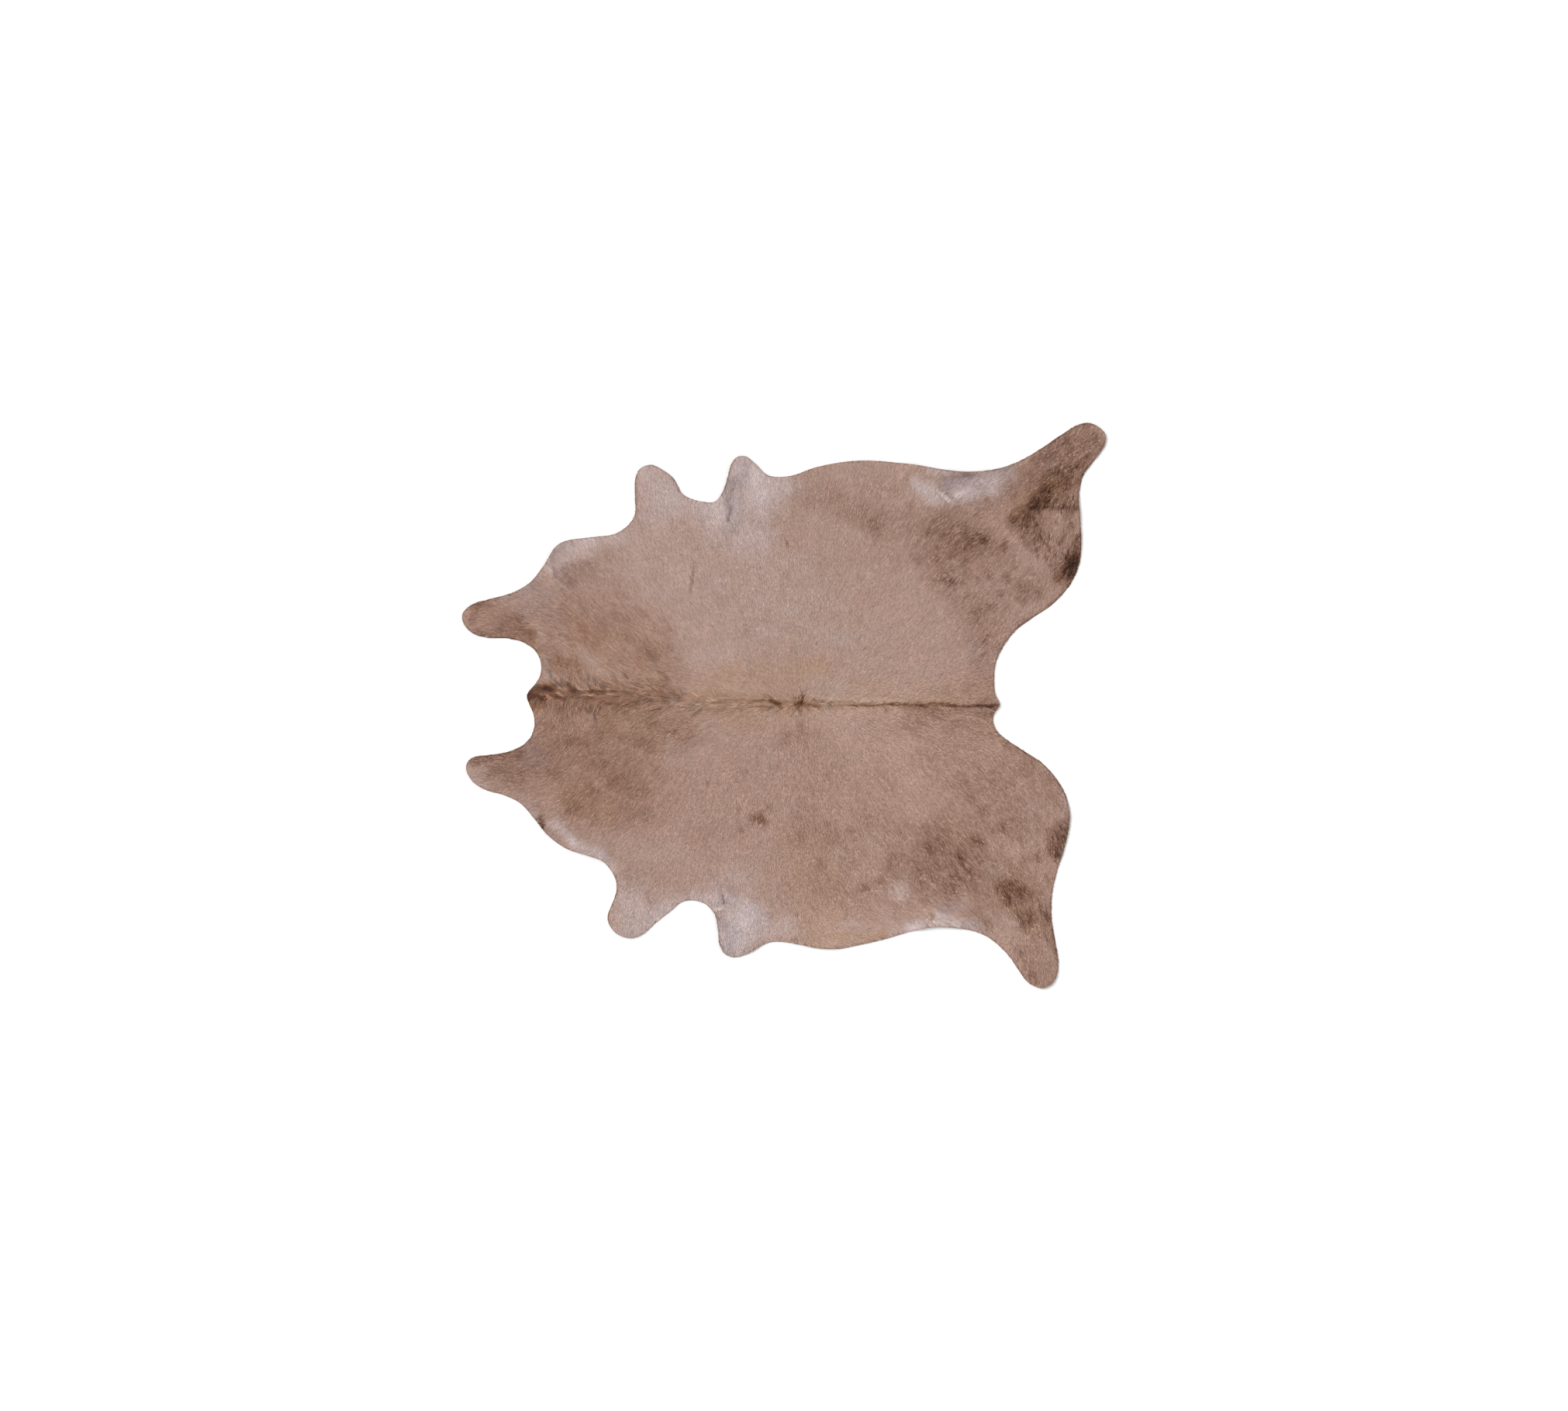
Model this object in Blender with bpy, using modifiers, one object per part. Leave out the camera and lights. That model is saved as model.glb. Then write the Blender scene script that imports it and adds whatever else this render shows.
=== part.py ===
"""Cowhide: one whole tanned hide with the hair left on, lying flat with the hair side up.

Metres. +X runs along the back from the neck to the tail, +Y points to the animal's right side
and +Z up. The origin is under the middle of the hide, on the surface that it lies on.
"""

from collections import namedtuple

import bmesh
import bpy
import numpy as np
from mathutils import Vector
from mathutils.geometry import delaunay_2d_cdt

MM = 0.001

# Driving sizes.
HIDE_LENGTH = 2.300
PILE_AND_SKIN = 0.005
RIM_THICKNESS = 0.003
RIM_TAPER = 0.022
MANE_EXTRA = 0.004
MANE_HALF_WIDTH = 0.055
MAX_THICKNESS = PILE_AND_SKIN + MANE_EXTRA

# Spacing of the points on the cut edge, on the folds and on the flat ground between them.
EDGE_STEP = 0.020
FOLD_STEP = 0.023
FLAT_STEP = 0.062
EDGE_MARGIN = 0.6
SPLINE_SAMPLES = 24
SPLINE_LEVELS = (((0, 1), (1, 2), (2, 3)), ((0, 2), (1, 3)), ((1, 2),))

HAIR_COLOUR = (0.37, 0.24, 0.19, 1.0)
HAIR_ROUGHNESS = 0.75

# The cut edge, going round from the nape over the animal's right side. Each row is one stretch,
# and its points are millimetres from the middle: along the back towards the tail, then across.
EdgeStretch = namedtuple("EdgeStretch", "stretch points")
EDGE = (
    EdgeStretch("nape, right half", (
        (-918, 38), (-886, 80), (-869, 112), (-868, 156), (-886, 195), (-928, 225))),
    EdgeStretch("right neck lobe", (
        (-980, 240), (-1053, 243), (-1108, 257), (-1140, 288), (-1149, 318), (-1142, 337),
        (-1109, 363), (-1053, 380), (-968, 404))),
    EdgeStretch("right side of the neck", (
        (-906, 441), (-858, 500), (-814, 568), (-780, 588), (-685, 602), (-606, 613),
        (-556, 645), (-532, 683))),
    EdgeStretch("right foreleg", (
        (-532, 740), (-530, 812), (-513, 846), (-474, 860), (-432, 841), (-394, 812),
        (-364, 758), (-326, 737), (-285, 728))),
    EdgeStretch("right armpit and brisket lobe", (
        (-247, 728), (-222, 756), (-203, 808), (-188, 862), (-168, 887), (-138, 891),
        (-103, 864), (-64, 826))),
    EdgeStretch("right belly", (
        (-24, 817), (33, 823), (106, 849), (190, 867), (285, 875), (400, 868), (485, 858),
        (525, 851), (621, 837), (711, 838), (785, 852))),
    EdgeStretch("right hind leg", (
        (853, 880), (920, 920), (994, 970), (1039, 998), (1082, 1010), (1120, 997), (1148, 964),
        (1143, 928), (1101, 868), (1068, 823))),
    EdgeStretch("right rump", (
        (1053, 754), (1056, 680), (1061, 583), (1053, 504), (1021, 433), (958, 362), (886, 313),
        (819, 261), (773, 195))),
    EdgeStretch("root of the tail", (
        (755, 150), (750, 95), (754, 42), (770, 3), (751, -26), (746, -54), (763, -94))),
    EdgeStretch("left rump", (
        (808, -130), (875, -173), (928, -210), (976, -267), (1000, -306), (1019, -376),
        (1017, -434), (999, -515), (976, -586), (957, -672))),
    EdgeStretch("left hind leg", (
        (955, -757), (969, -844), (979, -916), (975, -960), (957, -992), (922, -1008),
        (872, -988), (840, -947), (806, -897), (764, -853))),
    EdgeStretch("left belly", (
        (722, -822), (676, -804), (611, -793), (537, -789), (452, -806), (356, -834), (277, -852),
        (198, -867), (119, -865), (45, -850), (-20, -842), (-63, -848))),
    EdgeStretch("left brisket lobe and armpit", (
        (-124, -882), (-172, -898), (-206, -889), (-227, -862), (-236, -798), (-245, -748),
        (-278, -710), (-322, -695), (-366, -701))),
    EdgeStretch("left foreleg", (
        (-405, -733), (-448, -766), (-506, -816), (-549, -829), (-595, -815), (-622, -785),
        (-630, -752), (-618, -717), (-600, -670), (-598, -630), (-613, -595))),
    EdgeStretch("left side of the neck", (
        (-648, -555), (-702, -534), (-776, -510), (-843, -462), (-886, -409), (-943, -347),
        (-1002, -318))),
    EdgeStretch("left neck lobe", (
        (-1070, -298), (-1113, -268), (-1134, -226), (-1127, -198), (-1100, -181), (-1053, -176),
        (-985, -164))),
    EdgeStretch("nape, left half", (
        (-937, -144), (-906, -115), (-891, -74), (-893, -33), (-909, 6))),
)

# The places where the hide stands off the floor. Each is a soft ridge along a straight line,
# highest on the line and back on the floor one reach away. Millimetres.
Fold = namedtuple("Fold", "name start end reach height")
FOLDS = (
    Fold("right neck lobe lift", (-1150, 310), (-1060, 315), 95, 6),
    Fold("right neck crease", (-838, 585), (-806, 452), 62, 10),
    Fold("right shoulder swell", (-765, 448), (-668, 520), 75, 7),
    Fold("right foreleg ripple", (-500, 860), (-450, 735), 85, 6),
    Fold("right armpit fold", (-172, 860), (-200, 655), 62, 13),
    Fold("right brisket lobe lift", (-110, 830), (-60, 740), 70, 5),
    Fold("right belly edge wave", (250, 880), (360, 872), 80, 5),
    Fold("right groin fold", (462, 835), (575, 722), 68, 12),
    Fold("right groin puff", (620, 815), (760, 790), 75, 11),
    Fold("right groin streak", (610, 738), (700, 768), 48, 5),
    Fold("right hind leg twist", (1105, 960), (985, 850), 90, 8),
    Fold("right rump edge wave", (1050, 700), (1010, 560), 85, 6),
    Fold("root of the tail lift", (775, 0), (700, 5), 60, 4),
    Fold("left rump edge wave", (1010, -400), (960, -500), 85, 5),
    Fold("left hind leg twist", (930, -1000), (900, -850), 85, 8),
    Fold("left groin fold", (515, -800), (660, -735), 68, 12),
    Fold("left groin puff", (560, -700), (650, -665), 60, 5),
    Fold("left belly edge wave", (150, -870), (60, -855), 80, 5),
    Fold("left armpit fold", (-222, -865), (-214, -670), 62, 13),
    Fold("left brisket lobe lift", (-120, -850), (-70, -770), 70, 5),
    Fold("left foreleg ripple", (-570, -820), (-520, -700), 85, 6),
    Fold("left neck edge curl", (-845, -408), (-665, -520), 75, 11),
    Fold("left neck lobe lift", (-1135, -225), (-1045, -235), 90, 6),
)

# The mane is a strip of longer brushed hair on the neck half of the back: millimetres along,
# across, and how much of the mane's full height it has there.
ManeStation = namedtuple("ManeStation", "along across fullness")
MANE = (
    ManeStation(-918, 38, 0.50),
    ManeStation(-820, 40, 0.90),
    ManeStation(-620, 36, 1.00),
    ManeStation(-300, 18, 0.85),
    ManeStation(-60, 8, 0.80),
    ManeStation(60, 6, 0.75),
    ManeStation(180, 4, 0.35),
    ManeStation(480, 2, 0.25),
    ManeStation(770, 2, 0.25),
)


def clear_scene():
    """Remove every object that the scene holds."""
    for old in list(bpy.data.objects):
        bpy.data.objects.remove(old, do_unlink=True)


def edge_curve():
    """The cut edge as a closed loop of points, EDGE_STEP apart.

    A centripetal Catmull-Rom spline passes through every point of EDGE, its samples are spaced
    evenly along its length, and the loop is centred and brought to HIDE_LENGTH.
    """
    knots = np.array([point for row in EDGE for point in row.points], dtype=float) * MM
    count = len(knots)
    samples = []
    for index in range(count):
        quad = [knots[(index + step) % count] for step in (-1, 0, 1, 2)]
        samples.append(spline_span(quad))
    loop = np.vstack(samples + [samples[0][:1]])
    run = np.concatenate([[0.0], np.cumsum(np.linalg.norm(np.diff(loop, axis=0), axis=1))])
    stations = np.linspace(0.0, run[-1], int(round(run[-1] / EDGE_STEP)), endpoint=False)
    even = np.column_stack([np.interp(stations, run, loop[:, axis]) for axis in (0, 1)])
    low = loop.min(axis=0)
    high = loop.max(axis=0)
    return (even - (low + high) / 2.0) * (HIDE_LENGTH / (high[0] - low[0]))


def spline_span(quad):
    """The stretch from the second to the third of four points, without its last sample.

    Each level of SPLINE_LEVELS blends neighbouring points in a straight line between the two
    knots it names, and the last blend is the curve.
    """
    knot = [0.0]
    for first, second in zip(quad[:-1], quad[1:]):
        knot.append(knot[-1] + np.sqrt(np.linalg.norm(second - first)))
    t = np.linspace(knot[1], knot[2], SPLINE_SAMPLES, endpoint=False)[:, None]
    points = [np.broadcast_to(point, (SPLINE_SAMPLES, 2)) for point in quad]
    for level in SPLINE_LEVELS:
        shares = [(t - knot[low]) / (knot[high] - knot[low]) for low, high in level]
        points = [a * (1.0 - share) + b * share for a, b, share in zip(points, points[1:], shares)]
    return points[0]


def distance_to_line(points, start, end):
    """The distance of each point from the straight line between two points."""
    along = end - start
    share = np.clip(((points - start) @ along) / (along @ along), 0.0, 1.0)
    return np.linalg.norm(points - (start + share[:, None] * along), axis=1)


def soft_step(distance, reach):
    """1 on the line, falling smoothly to exactly 0 one reach away: (1 - (d / reach)^2)^2."""
    return np.clip(1.0 - (distance / reach) ** 2, 0.0, None) ** 2


def lift(points):
    """The height of the hide's underside over the floor, exactly 0 where no fold reaches."""
    height = np.zeros(len(points))
    for fold in FOLDS:
        away = distance_to_line(points, np.array(fold.start) * MM, np.array(fold.end) * MM)
        height += fold.height * MM * soft_step(away, fold.reach * MM)
    return height


def mane_line(along):
    """The mane's place across the back, and its fullness, at each place along it."""
    stations = [row.along * MM for row in MANE]
    across = np.interp(along, stations, [row.across * MM for row in MANE])
    fullness = np.interp(along, stations, [row.fullness for row in MANE])
    return across, fullness


def thickness(points, edge):
    """Skin and lying hair: thin at the cut edge, full inside it, highest along the mane."""
    inward = np.clip(distance_to_edge(points, edge) / RIM_TAPER, 0.0, 1.0)
    body = RIM_THICKNESS + (PILE_AND_SKIN - RIM_THICKNESS) * inward * (2.0 - inward)
    across, fullness = mane_line(points[:, 0])
    return body + MANE_EXTRA * fullness * inward * soft_step(points[:, 1] - across, MANE_HALF_WIDTH)


def distance_to_edge(points, edge):
    """The distance of each point from the nearest stretch of the cut edge."""
    nearest = np.full(len(points), np.inf)
    for start, end in zip(edge, np.roll(edge, -1, axis=0)):
        nearest = np.minimum(nearest, distance_to_line(points, start, end))
    return nearest


def is_inside(points, edge):
    """True where a point lies inside the cut edge, by counting the edges to one side of it."""
    crossings = np.zeros(len(points), dtype=int)
    for start, end in zip(edge, np.roll(edge, -1, axis=0)):
        spans = (start[1] > points[:, 1]) != (end[1] > points[:, 1])
        rise = end[1] - start[1] if end[1] != start[1] else 1.0
        meets = start[0] + (points[:, 1] - start[1]) * (end[0] - start[0]) / rise
        crossings += spans & (points[:, 0] < meets)
    return crossings % 2 == 1


def lattice(step):
    """A triangular lattice of points that covers the hide's length on both axes."""
    half = HIDE_LENGTH / 2.0
    row_step = step * np.sqrt(3.0) / 2.0
    along = np.arange(-half, half, step)
    across = np.arange(-half, half, row_step)
    grid = np.array([(x + step / 2.0 * (row % 2), y) for row, y in enumerate(across) for x in along])
    return grid


def needs_detail(points):
    """True on a fold or on the mane, where the surface bends."""
    across, _ = mane_line(points[:, 0])
    return (lift(points) > 0.0) | (np.abs(points[:, 1] - across) < MANE_HALF_WIDTH)


def ground_points(edge):
    """The points inside the edge: close together on the folds and the mane, wide apart elsewhere."""
    kept = []
    for step, wants_detail in ((FOLD_STEP, True), (FLAT_STEP, False)):
        grid = lattice(step)
        grid = grid[is_inside(grid, edge)]
        grid = grid[distance_to_edge(grid, edge) > EDGE_MARGIN * EDGE_STEP]
        kept.append(grid[needs_detail(grid) == wants_detail])
    return np.vstack(kept)


def hide_surface(edge):
    """The underside as an open surface: the edge filled with triangles, lifted by the folds."""
    flat = np.vstack([edge, ground_points(edge)])
    outline = list(range(len(edge)))
    filled = delaunay_2d_cdt([Vector(point) for point in flat], [], [outline], 1, 1e-6)
    points = np.array([tuple(point) for point in filled[0]])
    height = lift(points)
    surface = bmesh.new()
    verts = [surface.verts.new((x, y, z)) for (x, y), z in zip(points, height)]
    for face in filled[2]:
        surface.faces.new([verts[index] for index in face])
    surface.normal_update()
    if sum(face.normal.z for face in surface.faces) < 0.0:
        bmesh.ops.reverse_faces(surface, faces=surface.faces)
    mesh = bpy.data.meshes.new("hide")
    surface.to_mesh(mesh)
    surface.free()
    return mesh, points


def hair_material():
    """Short taupe hair, soft and dull."""
    material = bpy.data.materials.new("taupe hair")
    material.use_nodes = True
    shader = material.node_tree.nodes["Principled BSDF"]
    shader.inputs["Base Color"].default_value = HAIR_COLOUR
    shader.inputs["Roughness"].default_value = HAIR_ROUGHNESS
    shader.inputs["Metallic"].default_value = 0.0
    return material


def build_hide(collection):
    """The hide: its underside, thickened upwards by the skin and the lying hair."""
    edge = edge_curve()
    mesh, points = hide_surface(edge)
    hide = bpy.data.objects.new("hide", mesh)
    collection.objects.link(hide)
    group = hide.vertex_groups.new(name="skin and hair")
    for index, depth in enumerate(thickness(points, edge)):
        group.add([index], float(depth / MAX_THICKNESS), "REPLACE")
    shell = hide.modifiers.new("skin and hair", "SOLIDIFY")
    shell.thickness = MAX_THICKNESS
    shell.offset = 1.0
    shell.use_rim = True
    shell.vertex_group = group.name
    mesh.materials.append(hair_material())
    mesh.shade_smooth()
    return hide


def main():
    clear_scene()
    collection = bpy.data.collections.new("cowhide")
    bpy.context.scene.collection.children.link(collection)
    build_hide(collection)


main()
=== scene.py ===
# %% [markdown]
# # A cowhide, hair side up
# The real object is one tanned skin about 2.3 m long, 2 mm thick, with short hair lying flat on
# it. This file dresses the plain solid of the part: a fine sheet of skin with soft folds, about
# three hundred and forty thousand locks of short hair, and the longer mane brushed along the
# back. Everything is in metres, +X runs from the neck to the tail, +Y to the animal's right.

from collections import namedtuple

import bpy
import numpy as np
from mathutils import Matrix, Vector


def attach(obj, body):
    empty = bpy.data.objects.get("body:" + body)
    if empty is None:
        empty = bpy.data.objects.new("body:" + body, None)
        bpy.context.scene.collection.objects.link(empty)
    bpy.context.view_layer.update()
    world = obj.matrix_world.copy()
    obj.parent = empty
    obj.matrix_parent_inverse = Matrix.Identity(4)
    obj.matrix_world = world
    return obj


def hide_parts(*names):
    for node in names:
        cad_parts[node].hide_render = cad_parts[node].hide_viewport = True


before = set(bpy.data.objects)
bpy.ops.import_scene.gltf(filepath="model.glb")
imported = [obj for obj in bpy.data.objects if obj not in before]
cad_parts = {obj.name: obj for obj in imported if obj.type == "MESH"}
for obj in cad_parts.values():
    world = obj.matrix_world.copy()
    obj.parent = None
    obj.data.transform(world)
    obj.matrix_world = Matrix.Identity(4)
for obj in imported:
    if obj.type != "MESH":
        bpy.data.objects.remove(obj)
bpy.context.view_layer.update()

# %% [markdown]
# ## Camera
# The hide is seen from straight above, with its back running level across the picture. A long
# lens from far up keeps all of the flat hide square to the view. The picture's width on the
# floor follows from the hide's share of it: 830 of 2022 pixels are 2.30 m.

# %% Camera straight above
MM = 0.001
HIDE_LENGTH = 2.300
PHOTO_WIDTH_PX = 2022
HIDE_LENGTH_PX = 830.0
LENS_MM = 85.0
SENSOR_MM = 36.0

picture_width = HIDE_LENGTH * PHOTO_WIDTH_PX / HIDE_LENGTH_PX
camera_height = picture_width * LENS_MM / SENSOR_MM
camera_data = bpy.data.cameras.new("camera from above")
camera_data.lens = LENS_MM
camera_data.sensor_width = SENSOR_MM
camera_data.clip_end = 100.0
camera = bpy.data.objects.new("camera from above", camera_data)
camera.location = (0.0, 0.0, camera_height)
bpy.context.scene.collection.objects.link(camera)
bpy.context.scene.camera = camera
print("picture is", round(picture_width, 3), "m wide, camera at", round(camera_height, 2), "m")

# %% [markdown]
# ## Floor and light
# A plain pale floor and two kinds of light: an even glow from all round, as from a white studio,
# and one broad soft lamp from the upper left that lets the folds and the hair show. A sun lamp
# with a wide angle lights the whole hide alike, which a near lamp would not.

# %% Floor and lamps
FLOOR_SIZE = 40.0
FLOOR_COLOUR = (0.97, 0.97, 0.97, 1.0)
FLOOR_ROUGHNESS = 0.9
FLOOR_SPECULAR = 0.1
FLOOR_DROP = 0.0005
STUDIO_WHITE = (1.0, 1.0, 1.0, 1.0)
STUDIO_GLOW = 0.70
KEY_STRENGTH = 1.80
KEY_SOFTNESS_DEG = 28.0
KEY_FROM = Vector((-0.80, 0.42, 0.95))

bpy.context.scene.view_settings.view_transform = "Standard"


def make_floor():
    """A flat square under the hide, FLOOR_SIZE on each side, FLOOR_DROP below it."""
    half = FLOOR_SIZE / 2.0
    corners = [(-half, -half, 0.0), (half, -half, 0.0), (half, half, 0.0), (-half, half, 0.0)]
    mesh = bpy.data.meshes.new("floor")
    mesh.from_pydata(corners, [], [(0, 1, 2, 3)])
    paint = bpy.data.materials.new("pale floor")
    paint.use_nodes = True
    shader = paint.node_tree.nodes["Principled BSDF"]
    shader.inputs["Base Color"].default_value = FLOOR_COLOUR
    shader.inputs["Roughness"].default_value = FLOOR_ROUGHNESS
    shader.inputs["Specular IOR Level"].default_value = FLOOR_SPECULAR
    mesh.materials.append(paint)
    floor = bpy.data.objects.new("floor", mesh)
    floor.location.z = -FLOOR_DROP
    bpy.context.scene.collection.objects.link(floor)


def make_lights():
    """A white world for the even glow, and one wide sun from the upper left."""
    world = bpy.data.worlds.new("studio")
    world.use_nodes = True
    background = world.node_tree.nodes["Background"]
    background.inputs["Color"].default_value = STUDIO_WHITE
    background.inputs["Strength"].default_value = STUDIO_GLOW
    bpy.context.scene.world = world
    lamp = bpy.data.lights.new("key", "SUN")
    lamp.energy = KEY_STRENGTH
    lamp.angle = np.radians(KEY_SOFTNESS_DEG)
    key = bpy.data.objects.new("key", lamp)
    key.rotation_euler = KEY_FROM.to_track_quat("Z", "Y").to_euler()
    bpy.context.scene.collection.objects.link(key)


make_floor()
make_lights()
print("floor and a sun of", KEY_STRENGTH, "W per square metre in place")

# %% [markdown]
# ## The cut edge
# The tanner trims the skin to its natural outline: two neck lobes, short forelegs, small brisket
# lobes at the armpits, long hind legs and the root of the tail. A handful of points for each
# stretch and one smooth closed curve through all of them give that outline. The points are the
# same as in the solid, in millimetres from the middle: along the back, then across it.

# %% The outline's points
EDGE = {
    "nape, right half": (
        (-918, 38), (-886, 80), (-869, 112), (-868, 156), (-886, 195), (-928, 225)),
    "right neck lobe": (
        (-980, 240), (-1053, 243), (-1108, 257), (-1140, 288), (-1149, 318), (-1142, 337),
        (-1109, 363), (-1053, 380), (-968, 404)),
    "right side of the neck": (
        (-906, 441), (-858, 500), (-814, 568), (-780, 588), (-685, 602), (-606, 613),
        (-556, 645), (-532, 683)),
    "right foreleg": (
        (-532, 740), (-530, 812), (-513, 846), (-474, 860), (-432, 841), (-394, 812),
        (-364, 758), (-326, 737), (-285, 728)),
    "right armpit and brisket lobe": (
        (-247, 728), (-222, 756), (-203, 808), (-188, 862), (-168, 887), (-138, 891),
        (-103, 864), (-64, 826)),
    "right belly": (
        (-24, 817), (33, 823), (106, 849), (190, 867), (285, 875), (400, 868), (485, 858),
        (525, 851), (621, 837), (711, 838), (785, 852)),
    "right hind leg": (
        (853, 880), (920, 920), (994, 970), (1039, 998), (1082, 1010), (1120, 997), (1148, 964),
        (1143, 928), (1101, 868), (1068, 823)),
    "right rump": (
        (1053, 754), (1056, 680), (1061, 583), (1053, 504), (1021, 433), (958, 362), (886, 313),
        (819, 261), (773, 195)),
    "root of the tail": (
        (755, 150), (750, 95), (754, 42), (770, 3), (751, -26), (746, -54), (763, -94)),
    "left rump": (
        (808, -130), (875, -173), (928, -210), (976, -267), (1000, -306), (1019, -376),
        (1017, -434), (999, -515), (976, -586), (957, -672)),
    "left hind leg": (
        (955, -757), (969, -844), (979, -916), (975, -960), (957, -992), (922, -1008),
        (872, -988), (840, -947), (806, -897), (764, -853)),
    "left belly": (
        (722, -822), (676, -804), (611, -793), (537, -789), (452, -806), (356, -834),
        (277, -852), (198, -867), (119, -865), (45, -850), (-20, -842), (-63, -848)),
    "left brisket lobe and armpit": (
        (-124, -882), (-172, -898), (-206, -889), (-227, -862), (-236, -798), (-245, -748),
        (-278, -710), (-322, -695), (-366, -701)),
    "left foreleg": (
        (-405, -733), (-448, -766), (-506, -816), (-549, -829), (-595, -815), (-622, -785),
        (-630, -752), (-618, -717), (-600, -670), (-598, -630), (-613, -595)),
    "left side of the neck": (
        (-648, -555), (-702, -534), (-776, -510), (-843, -462), (-886, -409), (-943, -347),
        (-1002, -318)),
    "left neck lobe": (
        (-1070, -298), (-1113, -268), (-1134, -226), (-1127, -198), (-1100, -181), (-1053, -176),
        (-985, -164)),
    "nape, left half": (
        (-937, -144), (-906, -115), (-891, -74), (-893, -33), (-909, 6)),
}
edge_knots = np.array([point for stretch in EDGE.values() for point in stretch]) * MM
print(len(EDGE), "stretches,", len(edge_knots), "points")

# %% A smooth closed curve through them
EDGE_STEP = 0.004
SPAN_SAMPLES = 24
SPLINE_LEVELS = (((0, 1), (1, 2), (2, 3)), ((0, 2), (1, 3)), ((1, 2),))


def closed_spline(points, step):
    """Centripetal Catmull-Rom curve through points, as a closed loop with points step apart.

    For each run of four points the knots are the running sums of the square roots of the
    distances, and each level blends neighbours in straight lines between the knots it names.
    """
    quad = [np.roll(points, shift, axis=0)[:, None] for shift in (1, 0, -1, -2)]
    gaps = [np.sqrt(np.linalg.norm(b - a, axis=2)) for a, b in zip(quad, quad[1:])]
    knot = [np.zeros_like(gaps[0])]
    for gap in gaps:
        knot.append(knot[-1] + gap)
    share = np.arange(SPAN_SAMPLES) / SPAN_SAMPLES
    t = knot[1] + (knot[2] - knot[1]) * share
    for level in SPLINE_LEVELS:
        blend = [((t - knot[a]) / (knot[b] - knot[a]))[..., None] for a, b in level]
        quad = [a * (1.0 - w) + b * w for a, b, w in zip(quad, quad[1:], blend)]
    loop = quad[0].reshape(-1, 2)
    loop = np.vstack([loop, loop[:1]])
    run = np.concatenate([[0.0], np.cumsum(np.linalg.norm(np.diff(loop, axis=0), axis=1))])
    even = np.linspace(0.0, run[-1], int(round(run[-1] / step)), endpoint=False)
    return np.column_stack([np.interp(even, run, loop[:, axis]) for axis in (0, 1)])


def centred(loop):
    """The loop moved so that its box is centred, and scaled to HIDE_LENGTH."""
    low, high = loop.min(axis=0), loop.max(axis=0)
    return (loop - (low + high) / 2.0) * HIDE_LENGTH / (high[0] - low[0])


edge = centred(closed_spline(edge_knots, EDGE_STEP))
edge_next = np.roll(edge, -1, axis=0)

# %% [markdown]
# ## How far inside the edge a point lies
# The sheet, the hair's length and the trimming at the edge all need the distance to the edge.
# It is worked out once on a square grid of the ground, negative inside the hide, and read from
# there by blending between the grid's nodes.

# %% The distance grid
GRID_STEP = 0.0025
GRID_MARGIN = 0.04
WINDOW = 16
FAR = WINDOW * GRID_STEP

grid_low = edge.min(axis=0) - GRID_MARGIN
grid_shape = np.ceil((edge.max(axis=0) + GRID_MARGIN - grid_low) / GRID_STEP).astype(int) + 1


def grid_points():
    """The places of all the grid's nodes, as an array (columns, rows, 2)."""
    axes = [grid_low[a] + GRID_STEP * np.arange(grid_shape[a]) for a in (0, 1)]
    return np.stack(np.meshgrid(*axes, indexing="ij"), axis=-1)


def distance_grid():
    """Distance to the edge, negative inside, and FAR where the edge is further than that.

    Every short piece of the edge gives its distance to the nodes in a window round it, and the
    smallest one counts. A node is inside if the edge crosses its row an odd number of times
    on its right.
    """
    run = edge_next - edge
    window = np.stack(np.meshgrid(*[np.arange(-WINDOW, WINDOW + 1)] * 2), -1).reshape(-1, 2)
    node = np.rint((edge - grid_low) / GRID_STEP).astype(int)[:, None] + window
    node = np.clip(node, 0, grid_shape - 1)
    offset = grid_low + node * GRID_STEP - edge[:, None]
    share = (offset * run[:, None]).sum(-1) / (run ** 2).sum(-1)[:, None]
    away = np.linalg.norm(offset - np.clip(share, 0, 1)[..., None] * run[:, None], axis=-1)
    nearest = np.full(grid_shape, FAR)
    np.minimum.at(nearest, (node[..., 0], node[..., 1]), away)
    rows = grid_low[1] + GRID_STEP * np.arange(grid_shape[1])
    piece, row = np.nonzero((edge[:, 1:] > rows) != (edge_next[:, 1:] > rows))
    slope = run[piece, 0] / run[piece, 1]
    crossing = edge[piece, 0] + (rows[row] - edge[piece, 1]) * slope
    column = np.floor((crossing - grid_low[0]) / GRID_STEP).astype(int)
    count = np.zeros(grid_shape, int)
    np.add.at(count, (column, row), 1)
    inside = np.cumsum(count[::-1], axis=0)[::-1] % 2 == 1
    return np.where(inside, -nearest, nearest)


def read_grid(grid, points):
    """The grid's value at each point, blended in straight lines between the four nodes round it."""
    place = (points - grid_low) / GRID_STEP
    cell = np.clip(np.floor(place).astype(int), 0, grid_shape - 2)
    u, v = (place - cell).T
    i, j = cell.T
    near = grid[i, j] * (1 - u) + grid[i + 1, j] * u
    far = grid[i, j + 1] * (1 - u) + grid[i + 1, j + 1] * u
    return near * (1 - v) + far * v


ground = grid_points()
edge_distance = distance_grid()
print("distance grid", grid_shape, "inside share", round(float((edge_distance < 0).mean()), 3))
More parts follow.
